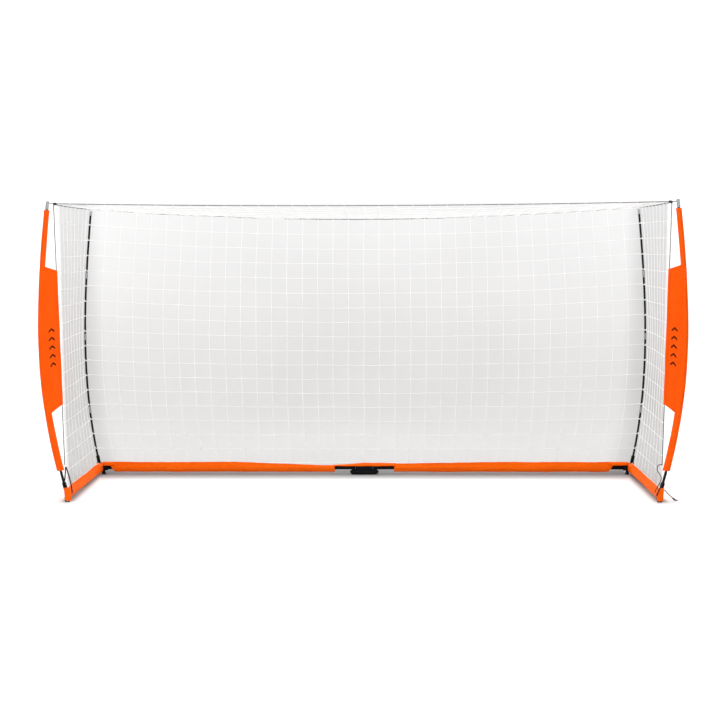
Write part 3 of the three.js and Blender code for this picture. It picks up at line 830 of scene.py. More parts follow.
# ---- Poles ----
def make_rear_pole(side, sign, paint):
    """Four plug-together rods, three ferrules over their joints and a cap on top."""
    half = f"{side}_half"

    def part(name, slot, piece):
        place(piece, half, slot, f"{side}_{name}")

    for i in range(1, 5):
        low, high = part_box(f"{side}_rear_pole_{i}")
        points = curve_points(REAR_POLE, REAR_Y, low.z + 0.001, high.z - 0.001, 0.03, sign)
        part(f"rear_pole_{i}", "fibreglass",
             tube_piece(f"rear_pole_{side}_{i}", points, REAR_POLE_R, paint["pole"]))
    for i in range(1, 4):
        low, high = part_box(f"{side}_rear_ferrule_{i}")
        points = curve_points(REAR_POLE, REAR_Y, low.z, high.z, 0.003, sign)
        count = len(points)
        radii = [REAR_POLE_R + (0.0018 if 1 < k < count - 2 else 0.0006) for k in range(count)]
        part(f"rear_ferrule_{i}", "ferrule",
             tube_piece(f"rear_ferrule_{side}_{i}", points, radii, paint["metal"]))
    low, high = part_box(f"{side}_rear_pole_cap")
    points = curve_points(REAR_POLE, REAR_Y, low.z, high.z, 0.002, sign)
    points = [(sign * x_at(REAR_POLE, min(z, REAR_POLE_TOP[1])), y, z) for _, y, z in points]
    part("rear_pole_cap", "cap",
         cap_piece(f"rear_cap_{side}", points, REAR_POLE_R + 0.0025, paint["plastic"]))


def cap_piece(name, points, radius, material):
    """A moulded cap with a rolled rim, a waist where the cord sits, and a domed top."""
    count = len(points)
    radii = []
    for k in range(count):
        t = k / (count - 1)
        r = radius - 0.0016 * math.exp(-((t - 0.62) / 0.07) ** 2)
        if t < 0.12:
            r += 0.0008
        if t > 0.86:
            r *= math.sqrt(max(0.05, 1 - ((t - 0.86) / 0.145) ** 2))
        radii.append(r)
    return tube_piece(name, points, radii, material)


def place(piece, body, slot, *nodes):
    """Puts a piece on its body and hides the CAD nodes that it stands in for; the slot is not used."""
    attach(piece, body)
    if nodes:
        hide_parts(*nodes)
    return piece


def make_bow(side, sign, paint):
    """The bow's pole and the cap on its tip."""
    arm = f"{side}_arm"
    low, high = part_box(f"{side}_bow_pole")
    points = curve_points(BOW, FRONT_Y, low.z + 0.002, high.z - 0.002, 0.02, sign)
    place(tube_piece(f"bow_pole_{side}", points, BOW_POLE_R, paint["pole"]),
          arm, "fibreglass", f"{side}_bow_pole")
    low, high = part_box(f"{side}_bow_cap")
    count = 26
    points = [(sign * x_at(BOW, min(z, BOW_TIP[1])), FRONT_Y, z)
              for z in (lerp(low.z + 0.001, high.z, i / count) for i in range(count + 1))]
    place(cap_piece(f"bow_cap_{side}", points, BOW_POLE_R + 0.0028, paint["plastic"]),
          arm, "cap", f"{side}_bow_cap")


# ---- Cloth sleeves ----
TUBE_CLEAR = TUBE_R + 0.0018
SHOULDER = 0.0205


def teardrop(width, low, top, shoulder, lower_steps=9, upper_steps=11):
    """Half outline (across, z) of a sleeve about the tube, from its lowest point up to its fin.

    Over wide metal the cloth keeps at least the shoulder's half width until close under the fin.
    """
    points = []
    for i in range(lower_steps):
        a = math.pi / 2 * i / lower_steps
        points.append((width * math.sin(a), TUBE_Z - (TUBE_Z - low) * math.cos(a)))
    for i in range(upper_steps + 1):
        t = i / upper_steps
        z = lerp(TUBE_Z, top, t)
        over_tube = math.sqrt(max(0, TUBE_CLEAR ** 2 - (z - TUBE_Z) ** 2))
        over_plates = shoulder * math.sqrt(1 - t ** 5)
        points.append((max(over_tube, over_plates, lerp(width, 0.0022, smooth_step(t) ** 0.75)), z))
    return points


def sleeve_ring(width, low, top, shoulder):
    """A closed outline about the tube, up one side and down the other."""
    half = teardrop(width, low, top, shoulder)
    return half + [(-x, z) for x, z in reversed(half[1:])]


def crease(distance, width, depth):
    """How far a fold line dents the cloth at a distance from its middle."""
    return -depth * math.exp(-(distance / width) ** 2)


def stations(length, step, hem):
    """Distances along a sleeve: even steps, with the turned hem's edge marked sharply at both ends."""
    count = round((length - 2 * hem) / step)
    middle = [lerp(hem + 0.0008, length - hem - 0.0008, i / count) for i in range(count + 1)]
    low = [0, 0.0008, hem / 2, hem]
    return low + middle + [length - d for d in reversed(low)]


HEM = 0.012


def hem_swell(distance, length):
    """A turned hem is one cloth thicker; its very edge is rounded off."""
    near = min(distance, length - distance)
    if near > HEM:
        return 0
    return 0.0010 if near > 0.0004 else 0.0002


def sleeve_skin(length, step, shape, seed):
    """Rings (along, across, z) of a base sleeve; shape(along) gives half width, low, top and shoulder."""
    rings = []
    for along in stations(length, step, HEM):
        width, low, top, shoulder = shape(along)
        width += hem_swell(along, length)
        first_z = 0.047 + 0.011 * wobble(along, 0, 0, 1.7, seed) + 0.003 * wobble(along, 0, 0, 9, seed)
        second_z = 0.064 + 0.008 * wobble(along, 0, 0, 4.9, seed + 3)
        third_z = 0.030 + 0.014 * wobble(along, 0, 0, 6.5, seed + 15)
        first = 0.6 + 0.6 * wobble(along, 0, 0, 6, seed + 6)
        second = smooth_step(3 * wobble(along, 0, 0, 4, seed + 8))
        third = smooth_step(3 * wobble(along, 0, 0, 5, seed + 12))
        near_end = math.exp(-min(along, length - along) / 0.05)
        ring = []
        for across, z in sleeve_ring(width, low, top, shoulder):
            fade = smooth_step((top - z) / 0.014) * (1 - shoulder / SHOULDER)
            dent = 0.0026 * wobble(along, across * 3, z * 1.6, 19, seed)
            dent += 0.0011 * wobble(along, across, z, 70, seed)
            dent += first * crease(z - first_z, 0.0038, 0.0065)
            dent += second * crease(z - second_z, 0.0028, 0.0042)
            dent += third * crease(z - third_z, 0.0035, 0.0040)
            dent += 0.0014 * near_end * math.sin(2 * math.pi * (z / 0.017 + along / 0.060))
            across *= 1 + dent * fade / 0.014
            z = TUBE_Z + (z - TUBE_Z) * (1 + dent * fade / 0.10)
            clear = max(1, TUBE_CLEAR / math.hypot(across, z - TUBE_Z))
            ring.append((along, across * clear, TUBE_Z + (z - TUBE_Z) * clear))
        rings.append(ring)
    return rings


def sleeve_edge(along, seed, rate=5):
    """How far a sleeve's upper or lower outline strays from straight."""
    return 0.0030 * wobble(along, 0, 0, rate, seed) + 0.0012 * wobble(along, 0, 0, 22, seed)


SLEEVE_END = {"left": 1.760, "right": 1.708}
ARM_SLEEVE_END = REAR_Y - 0.024


def back_sleeve(side, sign, material):
    """The sleeve on one half of the back tube; near the hub it sits lower, more so on the left."""
    length = SLEEVE_END[side] - BACK_SLEEVE[0].x
    seed = 5.0 + sign
    drop = 0.021 if side == "left" else 0.009

    def shape(along):
        top = SLEEVE_TOP - drop * (1 - smooth_step(along / 0.75)) + sleeve_edge(along, seed)
        low = SLEEVE_LOW - 0.001 + 0.8 * sleeve_edge(along, seed + 9, 6)
        return 0.0156 + 0.0014 * wobble(along, 0, 0, 9, seed + 4), low, top, 0

    def slanted(along, z):
        return along - 0.034 * smooth_step((along - length + 0.10) / 0.10) * max(0, (0.060 - z) / 0.048)

    rings = [[(sign * (BACK_SLEEVE[0].x + slanted(a, z)), REAR_Y + across, z) for a, across, z in ring]
             for ring in sleeve_skin(length, 0.007, shape, seed)]
    return shell(f"back_sleeve_{side}", rings, material)


def arm_sleeve(side, sign, material):
    """The arm's sleeve, drawn over the hinge plates at the back."""
    start = ARM_SLEEVE[0].y
    length = ARM_SLEEVE_END - start
    seed = 21.0 + sign

    def shape(along):
        over_plates = smooth_step((along / length - 0.86) / 0.08)
        top = SLEEVE_TOP + 0.002 + 1.3 * sleeve_edge(along, seed) - 0.004 * over_plates
        top -= 0.006 * (1 - smooth_step(along / 0.09))
        low = max(0.010, SLEEVE_LOW - 0.003 + sleeve_edge(along, seed + 3, 6) - 0.003 * over_plates)
        width = 0.0160 + 0.0012 * wobble(along, 0, 0, 10, seed)
        return lerp(width, SHOULDER, over_plates), low, top, SHOULDER * over_plates

    rings = [[(sign * FOOT_X + across, start + a, z) for a, across, z in ring]
             for ring in sleeve_skin(length, 0.006, shape, seed)]
    return shell(f"arm_sleeve_{side}", rings, material)


def corner_cloth(side, sign, material):
    """The strip of sleeve cloth that runs on behind the corner bracket and round to the arm."""
    end = SLEEVE_END[side]
    behind, turn_x, turn_r = REAR_Y + 0.0190, FOOT_X + 0.012, 0.0095
    route = [(end - 0.020, behind), (turn_x, behind)]
    for k in range(1, 7):
        a = math.pi / 2 * k / 6
        route.append((turn_x + turn_r * math.sin(a), behind - turn_r * (1 - math.cos(a))))
    route.append((FOOT_X + 0.0205, REAR_Y - 0.030))
    steps = np.concatenate([[0], np.cumsum([math.dist(a, b) for a, b in zip(route, route[1:])])])

    def on_route(s):
        return np.array([np.interp(s, steps, [p[axis] for p in route]) for axis in (0, 1)])

    def pair_at(u, v):
        s = steps[-1] * v
        x, y = on_route(s)
        run = on_route(s + 0.002) - on_route(s - 0.002)
        run_x, run_y = run / np.linalg.norm(run)
        low = lerp(0.030, 0.052, smooth_step(s / 0.05))
        top = SLEEVE_TOP - 0.006 * (1 - smooth_step((x - FOOT_X) / 0.012))
        top += 0.002 * wobble(s, 0, 0, 25, 90.0 + sign)
        z = lerp(low, top, u)
        push = 0.0012 * wobble(s, 0, z, 60, 91.0 + sign)
        return [(sign * (x - run_y * offset), y + run_x * offset, z)
                for offset in (push - 0.0007, push + 0.0007)]

    return sheet(f"corner_cloth_{side}", 40, 8, pair_at, material)


def corner_fold(side, sign, material):
    """The tongue of sleeve cloth folded over the corner bracket, up to the rear pole's socket."""
    start, end = SLEEVE_END[side] - 0.030, REAR_POLE_BASE_X - SOCKET_R - 0.006

    def outline_at(x):
        top = SLEEVE_TOP + 0.001 + 0.0015 * wobble(x, 0, 0, 25, 94.0 + sign)
        low = (0.061 if side == "left" else 0.064) + 0.002 * wobble(x, 0, 0, 18, 95.0 + sign)
        half = lerp(0.0146, 0.0178, smooth_step((x - start) / 0.040))
        return fold_outline(half, low, 0.050, top)

    xs = [lerp(start, end, i / 24) for i in range(25)]
    return folded_cloth(f"corner_fold_{side}", xs, sign, outline_at, material)


def bow_sleeve_half_width(z):
    """The bow sleeve is narrow above the wing and fuller below it."""
    return lerp(0.0225, 0.0170, smooth_step((z - 0.55) / 0.9))


def bow_sleeve(side, sign, material):
    """The sleeve on the bow: full over the pole, flat towards its inner edge, hemmed at both ends."""
    z0, z1 = BOW_SLEEVE[0].z, BOW_SLEEVE[1].z
    seed = 40.0 + sign
    rings, around = [], 36
    for along in stations(z1 - z0, 0.008, HEM):
        z = z0 + along
        x = x_at(BOW, z)
        dx = x_at(BOW, min(z + 0.01, z1)) - x_at(BOW, max(z - 0.01, z0))
        lean = math.atan2(dx, 0.02)
        half = bow_sleeve_half_width(z) + 0.0012 * wobble(0, 0, z, 8, seed) + hem_swell(along, z1 - z0)
        near_end = math.exp(-min(along, z1 - z0 - along) / 0.06)
        ring = []
        for k in range(around):
            a = 2 * math.pi * k / around
            across = half * math.copysign(abs(math.cos(a)) ** 0.85, math.cos(a))
            depth = 0.0040 + 0.0072 * math.exp(-((across - 0.002) / 0.011) ** 2)
            depth += hem_swell(along, z1 - z0)
            dent = 0.0014 * wobble(across * 2, math.copysign(0.1, math.sin(a)), z, 17, seed)
            dent += crease(across + 0.011 - 0.004 * wobble(0, 0, z, 3, seed), 0.0030, 0.0018)
            dent += 0.0012 * near_end * math.sin(2 * math.pi * (across / 0.013 + along / 0.05))
            deep = (depth + dent) * math.copysign(abs(math.sin(a)) ** 0.7, math.sin(a))
            ring.append((sign * (x + across * math.cos(lean)), FRONT_Y + deep,
                         z - across * math.sin(lean)))
        rings.append(ring)
    return shell(f"bow_sleeve_{side}", rings, material)


WING_LOW_OUT = 0.552
WING_LOW_IN = 0.608
WING_TOP_IN = 1.430
WING_TOP_OUT = 1.456
WING_OVERLAP = 0.004
WING_SEED = 60.0
HEM_R = 0.0052


def wing_point(u, v, seed):
    """A point (x, y, z) of the wing's middle; u runs from the sleeve to the inner hem, v upwards."""
    z = lerp(lerp(WING_LOW_OUT, WING_LOW_IN, u), lerp(WING_TOP_OUT, WING_TOP_IN, u), v)
    outer = x_at(BOW, z) - bow_sleeve_half_width(z) + WING_OVERLAP
    inner = front_edge_x(z) - 0.006 + 0.0015 * wobble(0, 0, z, 7, seed)
    ends = 1 - smooth_step(v / 0.05) * smooth_step((1 - v) / 0.05)
    pull = 0.0035 * wobble(u * 0.9, 0, z * 5, 1.6, seed) * math.sin(math.pi * u)
    ripple = 0.0020 * wobble(u * 3, 1, z * 9, 1.5, seed + 2) * ends
    y = FRONT_Y + lerp(0, 0.008, u) + pull + ripple - 0.004 * math.sin(math.pi * u)
    return lerp(outer, inner, u), y, z


def wing(side, sign, material):
    """The wing: cloth with a turned hem at top and bottom and a round hem about the net's edge cord."""
    seed = WING_SEED + sign

    def pair_at(u, v):
        near_end = min(v, 1 - v) * (WING_TOP_IN - WING_LOW_IN)
        hem = 0.0008 * (1 - smooth_step((near_end - 0.014) / 0.004))
        x, y, z = wing_point(u, v, seed)
        reach = (1 - u) * abs(x_at(BOW, z) - front_edge_x(z))
        swell = HEM_R * math.sqrt(max(0, 1 - ((reach - HEM_R) / HEM_R) ** 2))
        thick = max(CLOTH * 0.6 + hem, swell)
        return (sign * x, y - thick, z), (sign * x, y + thick, z)

    return sheet(f"wing_{side}", 130, 26, pair_at, material)


CHEVRONS = 5
CHEVRON_PITCH = 0.050
CHEVRON_HALF = 0.019
CHEVRON_RISE = 0.016
CHEVRON_STROKE = 0.012
MARK_MIDDLE = 0.972


def wing_mark(side, sign, material):
    """A plain printed row of chevrons on the wing's front."""
    heap = Heap()
    seed = WING_SEED + sign
    for n in range(CHEVRONS):
        base = MARK_MIDDLE + (n - (CHEVRONS - 1) / 2) * CHEVRON_PITCH
        for arm in (-1, 1):
            grid = []
            for i in range(7):
                t = i / 6
                row = []
                for j in range(4):
                    z = base - CHEVRON_RISE * t + CHEVRON_STROKE * j / 3
                    v = (z - WING_LOW_IN) / (WING_TOP_IN - WING_LOW_IN)
                    u = 0.5 + arm * t * CHEVRON_HALF / (x_at(BOW, z) - front_edge_x(z))
                    row.append(wing_point(u, v, seed))
                grid.append(row)
            top = [[(sign * x, y - CLOTH * 0.6 - 0.0004, z) for x, y, z in row] for row in grid]
            under = [[(sign * x, y - CLOTH * 0.6 + 0.0002, z) for x, y, z in row] for row in grid]
            piece = slab("chevron", top, under, material)
            heap.add([tuple(v.co) for v in piece.data.vertices],
                     [tuple(p.vertices) for p in piece.data.polygons])
            bpy.data.objects.remove(piece)
    return heap.make(f"wing_mark_{side}", material, smooth=False)


FLAP_INSET = {"left": 0.009, "right": 0.001}


def foot_flap(side, sign, material):
    """The cloth flap that wraps the front of the foot, with a curved top and soft corners."""
    seed = 80.0 + sign

    def pair_at(u, v):
        s = lerp(-1, 1, v)
        top = FLAP_TOP - 0.008 * abs(s) ** 2.5
        z = lerp(FLAP_LOW, top, u)
        lean = (z - FLAP_LOW) * math.tan(math.radians(6))
        turn = math.pi / 2 * s
        bulge = 1 + 0.04 * wobble(s, 0, z * 30, 1.3, seed)
        across = 0.0195 * math.copysign(abs(math.sin(turn)) ** 0.8, s) * bulge
        deep = 0.0135 * math.cos(turn) ** 0.7 * bulge if abs(s) < 1 else 0
        x = sign * (FOOT_X - FLAP_INSET[side] + 0.6 * lean) + across
        y = FRONT_Y - 0.0145 - deep
        return (x, y, z), (x - 0.0012 * math.sin(turn), y + 0.0012 * math.cos(turn) + 0.0003, z)

    return sheet(f"foot_flap_{side}", 30, 24, pair_at, material)


STITCH_PITCH = 0.006
STITCH_LENGTH = 0.0038


def stitches(name, path, material):
    """A row of raised thread stitches along a path, each a little proud of the cloth's front."""
    p = np.asarray(path, float)
    steps = np.linalg.norm(np.diff(p, axis=0), axis=1)
    along = np.concatenate([[0], np.cumsum(steps)])
    heap = Heap()
    for k in range(int(along[-1] / STITCH_PITCH)):
        ends = []
        for share, proud in ((0, 0.0001), (0.5, 0.0004), (1, 0.0001)):
            s = k * STITCH_PITCH + share * STITCH_LENGTH
            x, y, z = (float(np.interp(s, along, p[:, axis])) for axis in range(3))
            ends.append((x, y - proud, z))
        heap.tube(ends, 0.00035, 5)
    return heap.make(name, material)


def make_cloth(side, sign, paint):
    """All the cloth of one side."""
    half, arm = f"{side}_half", f"{side}_arm"
    cloth, thread = paint["cloth"], paint["thread"]
    sleeve = back_sleeve(side, sign, cloth)
    place(sleeve, half, "orange_cloth", f"{side}_back_sleeve")

    sleeve = arm_sleeve(side, sign, cloth)
    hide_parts(f"{side}_arm_sleeve")
    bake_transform(sleeve)

    # The bow sleeve and the wing take the darker copy of the orange cloth, as painted shade.
    sleeve = bow_sleeve(side, sign, paint["bow_cloth"])
    place(sleeve, arm, "orange_cloth", f"{side}_bow_sleeve")
    panel = wing(side, sign, paint["bow_cloth"])
    place(panel, arm, "orange_cloth", f"{side}_bow_sleeve")
    place(wing_mark(side, sign, paint["ink"]), arm, "orange_cloth")

    tongue = place(corner_fold(side, sign, cloth), half, "orange_cloth", f"{side}_back_sleeve")
    corner = place(corner_cloth(side, sign, cloth), half, "orange_cloth", f"{side}_back_sleeve")

    flap = foot_flap(side, sign, cloth)
    place(flap, arm, "orange_cloth", f"{side}_foot_flap")
    make_stitches(side, sign, thread)


def make_stitches(side, sign, thread):
    """The wing's four rows of stitches: along both ends, by the sleeve and by the inner hem."""
    seed = WING_SEED + sign
    rows = []
    for v in (0.014, 0.986):
        rows.append([wing_point(u / 20, v, seed) for u in range(19)])
    for u in (0.03, 0.84):
        rows.append([wing_point(u, v / 60, seed) for v in range(1, 60)])
    for n, row in enumerate(rows):
        path = [(sign * x, y - CLOTH * 0.6 - 0.0008, z) for x, y, z in row]
        place(stitches(f"wing_stitches_{side}_{n + 1}", path, thread), f"{side}_arm", "orange_cloth")


# ---- Net ----
def fine_line(knots, samples, sag):
    """The line of twine from knot to knot, with a little sag between each two."""
    points = []
    for a, b in zip(knots[:-1], knots[1:]):
        for k in range(samples):
            t = k / samples
            point = a + (b - a) * t
            point[2] -= 4 * sag * t * (1 - t)
            points.append(point)
    points.append(knots[-1])
    return np.array(points)


def net_piece(name, corners, material, bare=(), sag=0.0025):
    """The net through a grid of knots; bare lines are left out, as a cord or neighbour carries them."""
    grid = np.asarray(corners, float)
    rows, columns = grid.shape[:2]
    heap = Heap()
    for j in range(rows):
        if ("row", j) not in bare:
            heap.tube(fine_line(grid[j], 4, sag), TWINE_R, 5)
    for i in range(columns):
        if ("column", i) not in bare:
            heap.tube(fine_line(grid[:, i], 4, 0), TWINE_R, 5)
    for j in range(rows):
        for i in range(columns):
            if ("row", j) not in bare and ("column", i) not in bare:
                heap.knot(tuple(grid[j, i]), TWINE_R * 1.9)
    return heap.make(name, material)


def slack(point, seed, deep, free, out=(0, 1, 0)):
    """Moves a knot of the net a little, as slack twine hangs; free is 0 at a held edge."""
    x, y, z = point
    shift = 0.006 * Vector((wobble(x, y, z, 2.3, seed), 0, wobble(x, y, z, 3.1, seed + 5)))
    shift += Vector(out) * deep * wobble(x, y, z, 1.7, seed + 11)
    shift += Vector(out) * 0.003 * wobble(x, y, z, 12, seed + 17)
    return tuple(Vector(point) + shift * free)


BACK_COLUMNS = 18
NET_ROWS = 17
SIDE_COLUMNS = 9


def knot_grid(rows, columns, knot_at):
    """The places of a net's knots; knot_at(u, v) gives one, u across and v up or back."""
    return [[knot_at(i / columns, j / rows) for i in range(columns + 1)] for j in range(rows + 1)]


def back_net(side, sign, material):
    """Half of the back net, from the middle to the rear pole."""
    def knot_at(u, v):
        guess = u * REAR_POLE_TOP[0]
        z = lerp(SLEEVE_TOP - 0.003, rear_top_z(guess) - TOP_CORD_R, v)
        x = u * (x_at(REAR_POLE, min(z, REAR_POLE_TOP[1])) - REAR_POLE_R - TWINE_R)
        free = min(1, 6 * v * (1 - v)) * (1 if u < 0.97 else 0.2)
        z -= 0.010 * math.sin(math.pi * v) * (1 - u ** 4)
        return slack((sign * x, REAR_Y, z), 3.0, free=free, deep=0.010)

    bare = [("row", NET_ROWS), ("column", BACK_COLUMNS)] + ([("column", 0)] if side == "left" else [])
    return net_piece(f"net_back_{side}", knot_grid(NET_ROWS, BACK_COLUMNS, knot_at), material, bare)


def side_net(side, sign, material):
    """The net on one side, from the front edge's cord to the rear pole."""
    def knot_at(u, v):
        top = lerp(NET_HEIGHT, rear_top_z(REAR_POLE_TOP[0]) - 0.003, u)
        z = lerp(SLEEVE_TOP - 0.002, top, v)
        x = lerp(front_edge_x(z), x_at(REAR_POLE, min(z, REAR_POLE_TOP[1])), u)
        y = lerp(FRONT_Y + 0.008, REAR_Y - REAR_POLE_R - TWINE_R, u)
        free = min(1, 6 * v * (1 - v)) * min(1, 8 * u * (1 - u))
        z -= 0.008 * math.sin(math.pi * v)
        return slack((sign * x, y, z), 7.0 + sign, out=(1, 0, 0), deep=0.008, free=free)

    bare = [("row", NET_ROWS), ("column", 0), ("column", SIDE_COLUMNS)]
    return net_piece(f"net_side_{side}", knot_grid(NET_ROWS, SIDE_COLUMNS, knot_at), material, bare)


def roof_net(side, sign, material):
    """Half of the roof net, hung between the front and the rear top cords."""
    def knot_at(u, v):
        x = u * lerp(NET_CORNER_X - 0.004, REAR_POLE_TOP[0] - 0.008, v)
        y = lerp(FRONT_Y + 0.004, REAR_Y - 0.004, v)
        z = lerp(front_top_z(x), rear_top_z(x), v) - 0.012 * math.sin(math.pi * v) * (1 - u ** 6)
        free = min(1, 8 * v * (1 - v)) * (1 if u < 1 else 0.1)
        return slack((sign * x, y, z), 13.0, out=(0, 0, 1), deep=0.008, free=free)

    bare = [("row", 0), ("row", SIDE_COLUMNS), ("column", BACK_COLUMNS)]
    bare += [("column", 0)] if side == "left" else []
    grid = knot_grid(SIDE_COLUMNS, BACK_COLUMNS, knot_at)
    return net_piece(f"net_roof_{side}", grid, material, bare, sag=0.004)


def pole_wraps(side, sign, material):
    """The twine that laces both nets to the rear pole: a tight slanting turn at each row."""
    heap = Heap()
    for j in range(1, NET_ROWS):
        v = j / NET_ROWS
        z = lerp(SLEEVE_TOP, rear_top_z(REAR_POLE_TOP[0]), v) - 0.008 * math.sin(math.pi * v)
        x = x_at(REAR_POLE, z)
        radius = REAR_POLE_R + TWINE_R * 1.05 if z > SOCKET_TOP else SOCKET_R + TWINE_R
        start = math.pi * (0.9 + 0.2 * RANDOM.random())
        slant = 0.002 + 0.003 * RANDOM.random()
        points = []
        for k in range(45):
            t = k / 44
            a = start + 3.2 * math.pi * t
            height = z + 0.0055 * (t - 0.5) + slant * math.cos(a)
            points.append((sign * (x + radius * math.cos(a)), REAR_Y + radius * math.sin(a), height))
        heap.tube(points, TWINE_R, 6)
    return heap.make(f"pole_lacing_{side}", material)


# ---- Cords ----
CORNER_TURN = 0.020


def edge_cord(side, sign, material):
    """The cord up the net's front edge and back along the roof to the rear pole."""
    y = FRONT_Y + 0.008
    corner = NET_HEIGHT + 0.002
    points = [(front_edge_x(z), y, z) for z in np.linspace(0.228, corner - CORNER_TURN, 60)]
    for k in range(1, 8):
        a = math.pi / 2 * k / 8
        points.append((NET_CORNER_X, y + CORNER_TURN * (1 - math.cos(a)),
                       corner - CORNER_TURN * (1 - math.sin(a))))
    end = (REAR_POLE_TOP[0], REAR_Y - 0.012, rear_top_z(REAR_POLE_TOP[0]) - 0.001)
    for k in range(41):
        t = k / 40
        sag = 0.003 * 4 * t * (1 - t)
        points.append((lerp(NET_CORNER_X, end[0], t), lerp(y + CORNER_TURN, end[1], t),
                       lerp(corner, end[2], t) - sag))
    points = [(sign * px, py, pz) for px, py, pz in points]
    return tube_piece(f"net_edge_cord_{side}", points, EDGE_CORD_R, material, 12)


def front_cord(side, sign, material):
    """Half of the taut cord between the bows' tips, from the middle to one tip."""
    tip_x, tip_z = BOW_TIP[0] - 0.010, front_top_z(BOW_TIP[0])
    points = []
    for k in range(81):
        x = lerp(0, tip_x, k / 80)
        points.append((sign * x, FRONT_Y, min(front_top_z(x), tip_z)))
    return tube_piece(f"front_top_cord_{side}", points, TOP_CORD_R, material, 12)


def rear_cord(side, sign, material):
    """Half of the cord along the net's rear top edge, from the middle to one rear pole."""
    points = []
    for k in range(81):
        x = lerp(0, REAR_POLE_TOP[0] - REAR_POLE_R - 0.003, k / 80)
        points.append((sign * x, REAR_Y, rear_top_z(x) + 0.0015 * wobble(sign * x, 0, 0, 9)))
    return tube_piece(f"rear_top_cord_{side}", points, TOP_CORD_R, material, 12)


def lashings(name, places, radius, material):
    """Loops of twine that hang the net on a cord; places are points with the cord's direction."""
    heap = Heap()
    for centre, axis in places:
        lean = Vector((0.25 * RANDOM.uniform(-1, 1), 0.25 * RANDOM.uniform(-1, 1), 0.2))
        tilt = Vector(axis).normalized() + lean
        heap.ring(centre, tilt, radius + TWINE_R * 0.9, TWINE_R * 0.9)
    return heap.make(name, material)


def corner_knot(side, sign, material):
    """The black hook and knot that join the edge cord to the top cord at the net's corner."""
    heap = Heap()
    centre = Vector((sign * NET_CORNER_X, FRONT_Y + 0.004, NET_HEIGHT + 0.004))
    for k in range(4):
        offset = Vector((-sign * (0.001 + 0.005 * k), 0.001 * (k % 2), 0.0004 * k))
        heap.ring(centre + offset, (1, 0.2 * (-1) ** k, 0.15), 0.0062, 0.0024, 16, 8)
    return heap.make(f"corner_knot_{side}", material)


LEFT_TIE = ((1846, 13, 128), (1843, 12, 160), (1839, 10, 196), (1837, 8, 214), (1832, 8, 208),
            (1824, 9, 180), (1814, 10, 140), (1807, 12, 104), (1804, 15, 78), (1803, 18, 52))
RIGHT_TIE = ((1846, 15, 226), (1838, 15, 230), (1828, 12, 231), (1818, 9, 225), (1814, 9, 212),
             (1815, 9, 198), (1821, 10, 184), (1831, 12, 170), (1838, 13, 156), (1840, 14, 140),
             (1834, 16, 118), (1824, 17, 98), (1812, 17, 78), (1804, 18, 56))
RIGHT_STRAP = ((1849, -9, 136), (1842, -14, 122), (1832, -22, 104), (1820, -29, 84), (1810, -31, 62),
               (1806, -29, 44))
TAIL_ROUTE = ((1855, -12, 76), (1860, -12, 74), (1868, -8, 66), (1878, -2, 55), (1889, 5, 44),
              (1901, 13, 33), (1913, 21, 22), (1924, 28, 12.5), (1934, 34, 6), (1943, 39, 3),
              (1951, 44, 2.4))
TIE_R = {"left": 0.004, "right": 0.0025}
STRAP_R = 0.0038
TAIL_R = 0.0027


def smooth_route(points, sign, steps=8):
    """A smooth line through points given in millimetres, y from the front plane."""
    p = [Vector((sign * x / 1000, FRONT_Y + y / 1000, z / 1000)) for x, y, z in points]
    p = [2 * p[0] - p[1], *p, 2 * p[-1] - p[-2]]
    line = []
    for a, b, c, d in zip(p, p[1:], p[2:], p[3:]):
        for k in range(steps):
            t = k / steps
            line.append(0.5 * (2 * b + (c - a) * t + (2 * a - 5 * b + 4 * c - d) * t ** 2
                               + (3 * b - a - 3 * c + d) * t ** 3))
    line.append(p[-2])
    return line


def free_cord(name, points, radius, material, body, node_name):
    cord = tube_piece(name, points, radius, material, 12)
    place(cord, body, "black_cord", node_name)


def make_tail(paint):
    """The loose end of the right foot's cord, with the crimp on it."""
    route = smooth_route(TAIL_ROUTE, 1)
    total = len(route)
    heap = Heap()
    crimp = route[round(0.60 * total):round(0.80 * total)]
    count = len(crimp)
    heap.tube(crimp, [TAIL_R + (0.0024 if 0 < k < count - 1 else 0.0006) - 0.0007 * (k % 5 == 2)
                      for k in range(count)], 16)
    sleeve = heap.make("tail_crimp_sleeve", paint["rubber"])
    place(sleeve, "right_arm", "black_cord", "tail_crimp")
    free_cord("tail_cord_line", route, TAIL_R, paint["black_cord"], "right_arm", "tail_cord")


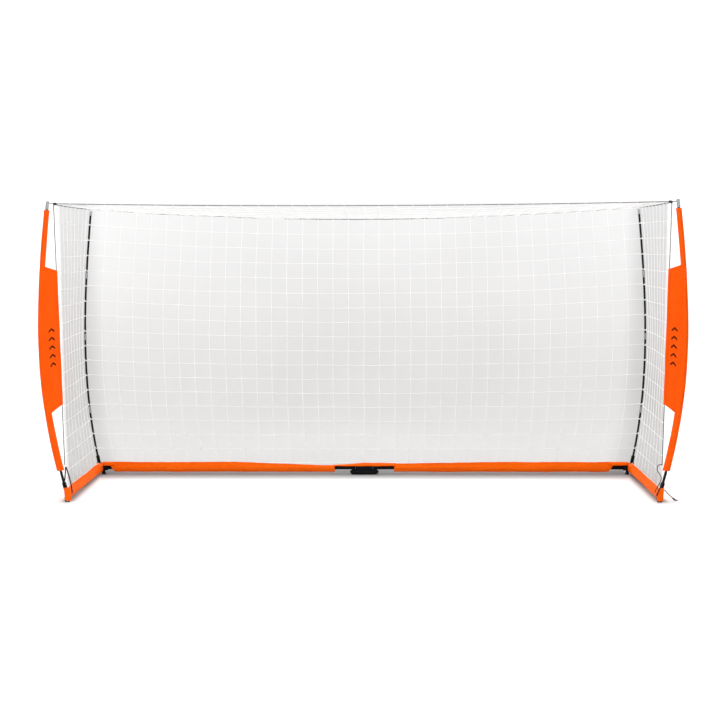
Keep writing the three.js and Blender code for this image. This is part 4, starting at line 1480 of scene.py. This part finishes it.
def make_cords(side, sign, paint):
    """The cords of one side, and the loops of twine that hang the net on them."""
    arm, base_fold = f"{side}_arm", f"{side}_base_fold"
    place(edge_cord(side, sign, paint["grey_cord"]), arm, "grey_cord", f"{side}_net_edge_cord")
    place(corner_knot(side, sign, paint["black_cord"]), arm, "black_cord")
    tie = smooth_route(LEFT_TIE if side == "left" else RIGHT_TIE, sign)
    free_cord(f"corner_tie_{side}", tie, TIE_R[side], paint["black_cord"], arm,
              f"{side}_corner_bungee")
    if side == "right":
        free_cord("foot_strap", smooth_route(RIGHT_STRAP, sign), STRAP_R, paint["black_cord"], arm,
                  "right_corner_bungee")

    cord = place(front_cord(side, sign, paint["grey_cord"]), "hub", "grey_cord", "front_top_cord")
    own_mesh(cord)
    cord = rear_cord(side, sign, paint["grey_cord"])
    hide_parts(f"{side}_rear_top_cord")
    bend_at_hub(cord)

    xs = [sign * NET_CORNER_X * i / BACK_COLUMNS for i in range(1, BACK_COLUMNS)]
    places = [((x, FRONT_Y, front_top_z(x)), (1, 0, 0)) for x in xs]
    loops = lashings(f"front_lashings_{side}", places, TOP_CORD_R, paint["twine"])
    place(loops, "hub", "net")
    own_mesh(loops)
    places = [((x, REAR_Y, rear_top_z(x)), (1, 0, 0)) for x in xs]
    loops = lashings(f"rear_lashings_{side}", places, TOP_CORD_R, paint["twine"])
    bend_at_hub(loops)
    places = []
    for j in range(2, NET_ROWS):
        z = lerp(SLEEVE_TOP, NET_HEIGHT, j / NET_ROWS)
        places.append(((sign * front_edge_x(z), FRONT_Y + 0.008, z), (0, 0, 1)))
    for i in range(1, SIDE_COLUMNS):
        t = i / SIDE_COLUMNS
        z = lerp(NET_HEIGHT + 0.002, rear_top_z(REAR_POLE_TOP[0]) - 0.001, t) - 0.012 * t * (1 - t)
        x = sign * lerp(NET_CORNER_X, REAR_POLE_TOP[0], t)
        places.append(((x, lerp(FRONT_Y + 0.028, REAR_Y - 0.012, t), z), (0, 1, 0)))
    place(lashings(f"edge_lashings_{side}", places, EDGE_CORD_R, paint["twine"]), arm, "net")


def bend_at_hub(piece):
    """Bakes the place of a piece that spans the hub's pivot into its mesh."""
    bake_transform(piece)


def make_nets(side, sign, paint):
    """The net of one side: back, side and roof, and the lacing on the rear pole."""
    net = back_net(side, sign, paint["twine"])
    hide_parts(f"{side}_net_back", "net_back_center")
    bend_at_hub(net)
    place(side_net(side, sign, paint["twine"]), f"{side}_arm", "net", f"{side}_net_side")
    place(pole_wraps(side, sign, paint["twine"]), f"{side}_half", "net")
    net = place(roof_net(side, sign, paint["twine"]), "hub", "net", "net_roof")
    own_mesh(net)


# ---- Build ----
make_camera()
make_studio()
ORANGE = (1.0, 0.125, 0.001)
# The bows' and wings' cloth: the same orange cloth made darker, as painted shade against the front light
# they catch.
SHADED_ORANGE = (0.98, 0.096, 0.0005)
PAINT = {
    "cloth": woven_cloth("orange_cloth", ORANGE),
    "bow_cloth": woven_cloth("bow_cloth", SHADED_ORANGE),
    "thread": woven_cloth("orange_thread", (0.85, 0.10, 0.01)),
    "ink": printed_ink(),
    "steel": powder_coat(),
    "pole": fibreglass(),
    "metal": bright_metal(),
    "plastic": grey_plastic(),
    "rubber": moulded_rubber(),
    "twine": twisted_twine(),
    "grey_cord": braided_cord("grey_cord", (0.10, 0.10, 0.11)),
    "black_cord": braided_cord("black_cord", (0.009, 0.009, 0.010)),
}
make_tail(PAINT)
for SIDE, SIGN in SIDES.items():
    make_cords(SIDE, SIGN, PAINT)
    make_nets(SIDE, SIGN, PAINT)
    make_cloth(SIDE, SIGN, PAINT)
    make_rear_pole(SIDE, SIGN, PAINT)
    make_bow(SIDE, SIGN, PAINT)
    make_base_metal(SIDE, PAINT)
make_hub(PAINT)
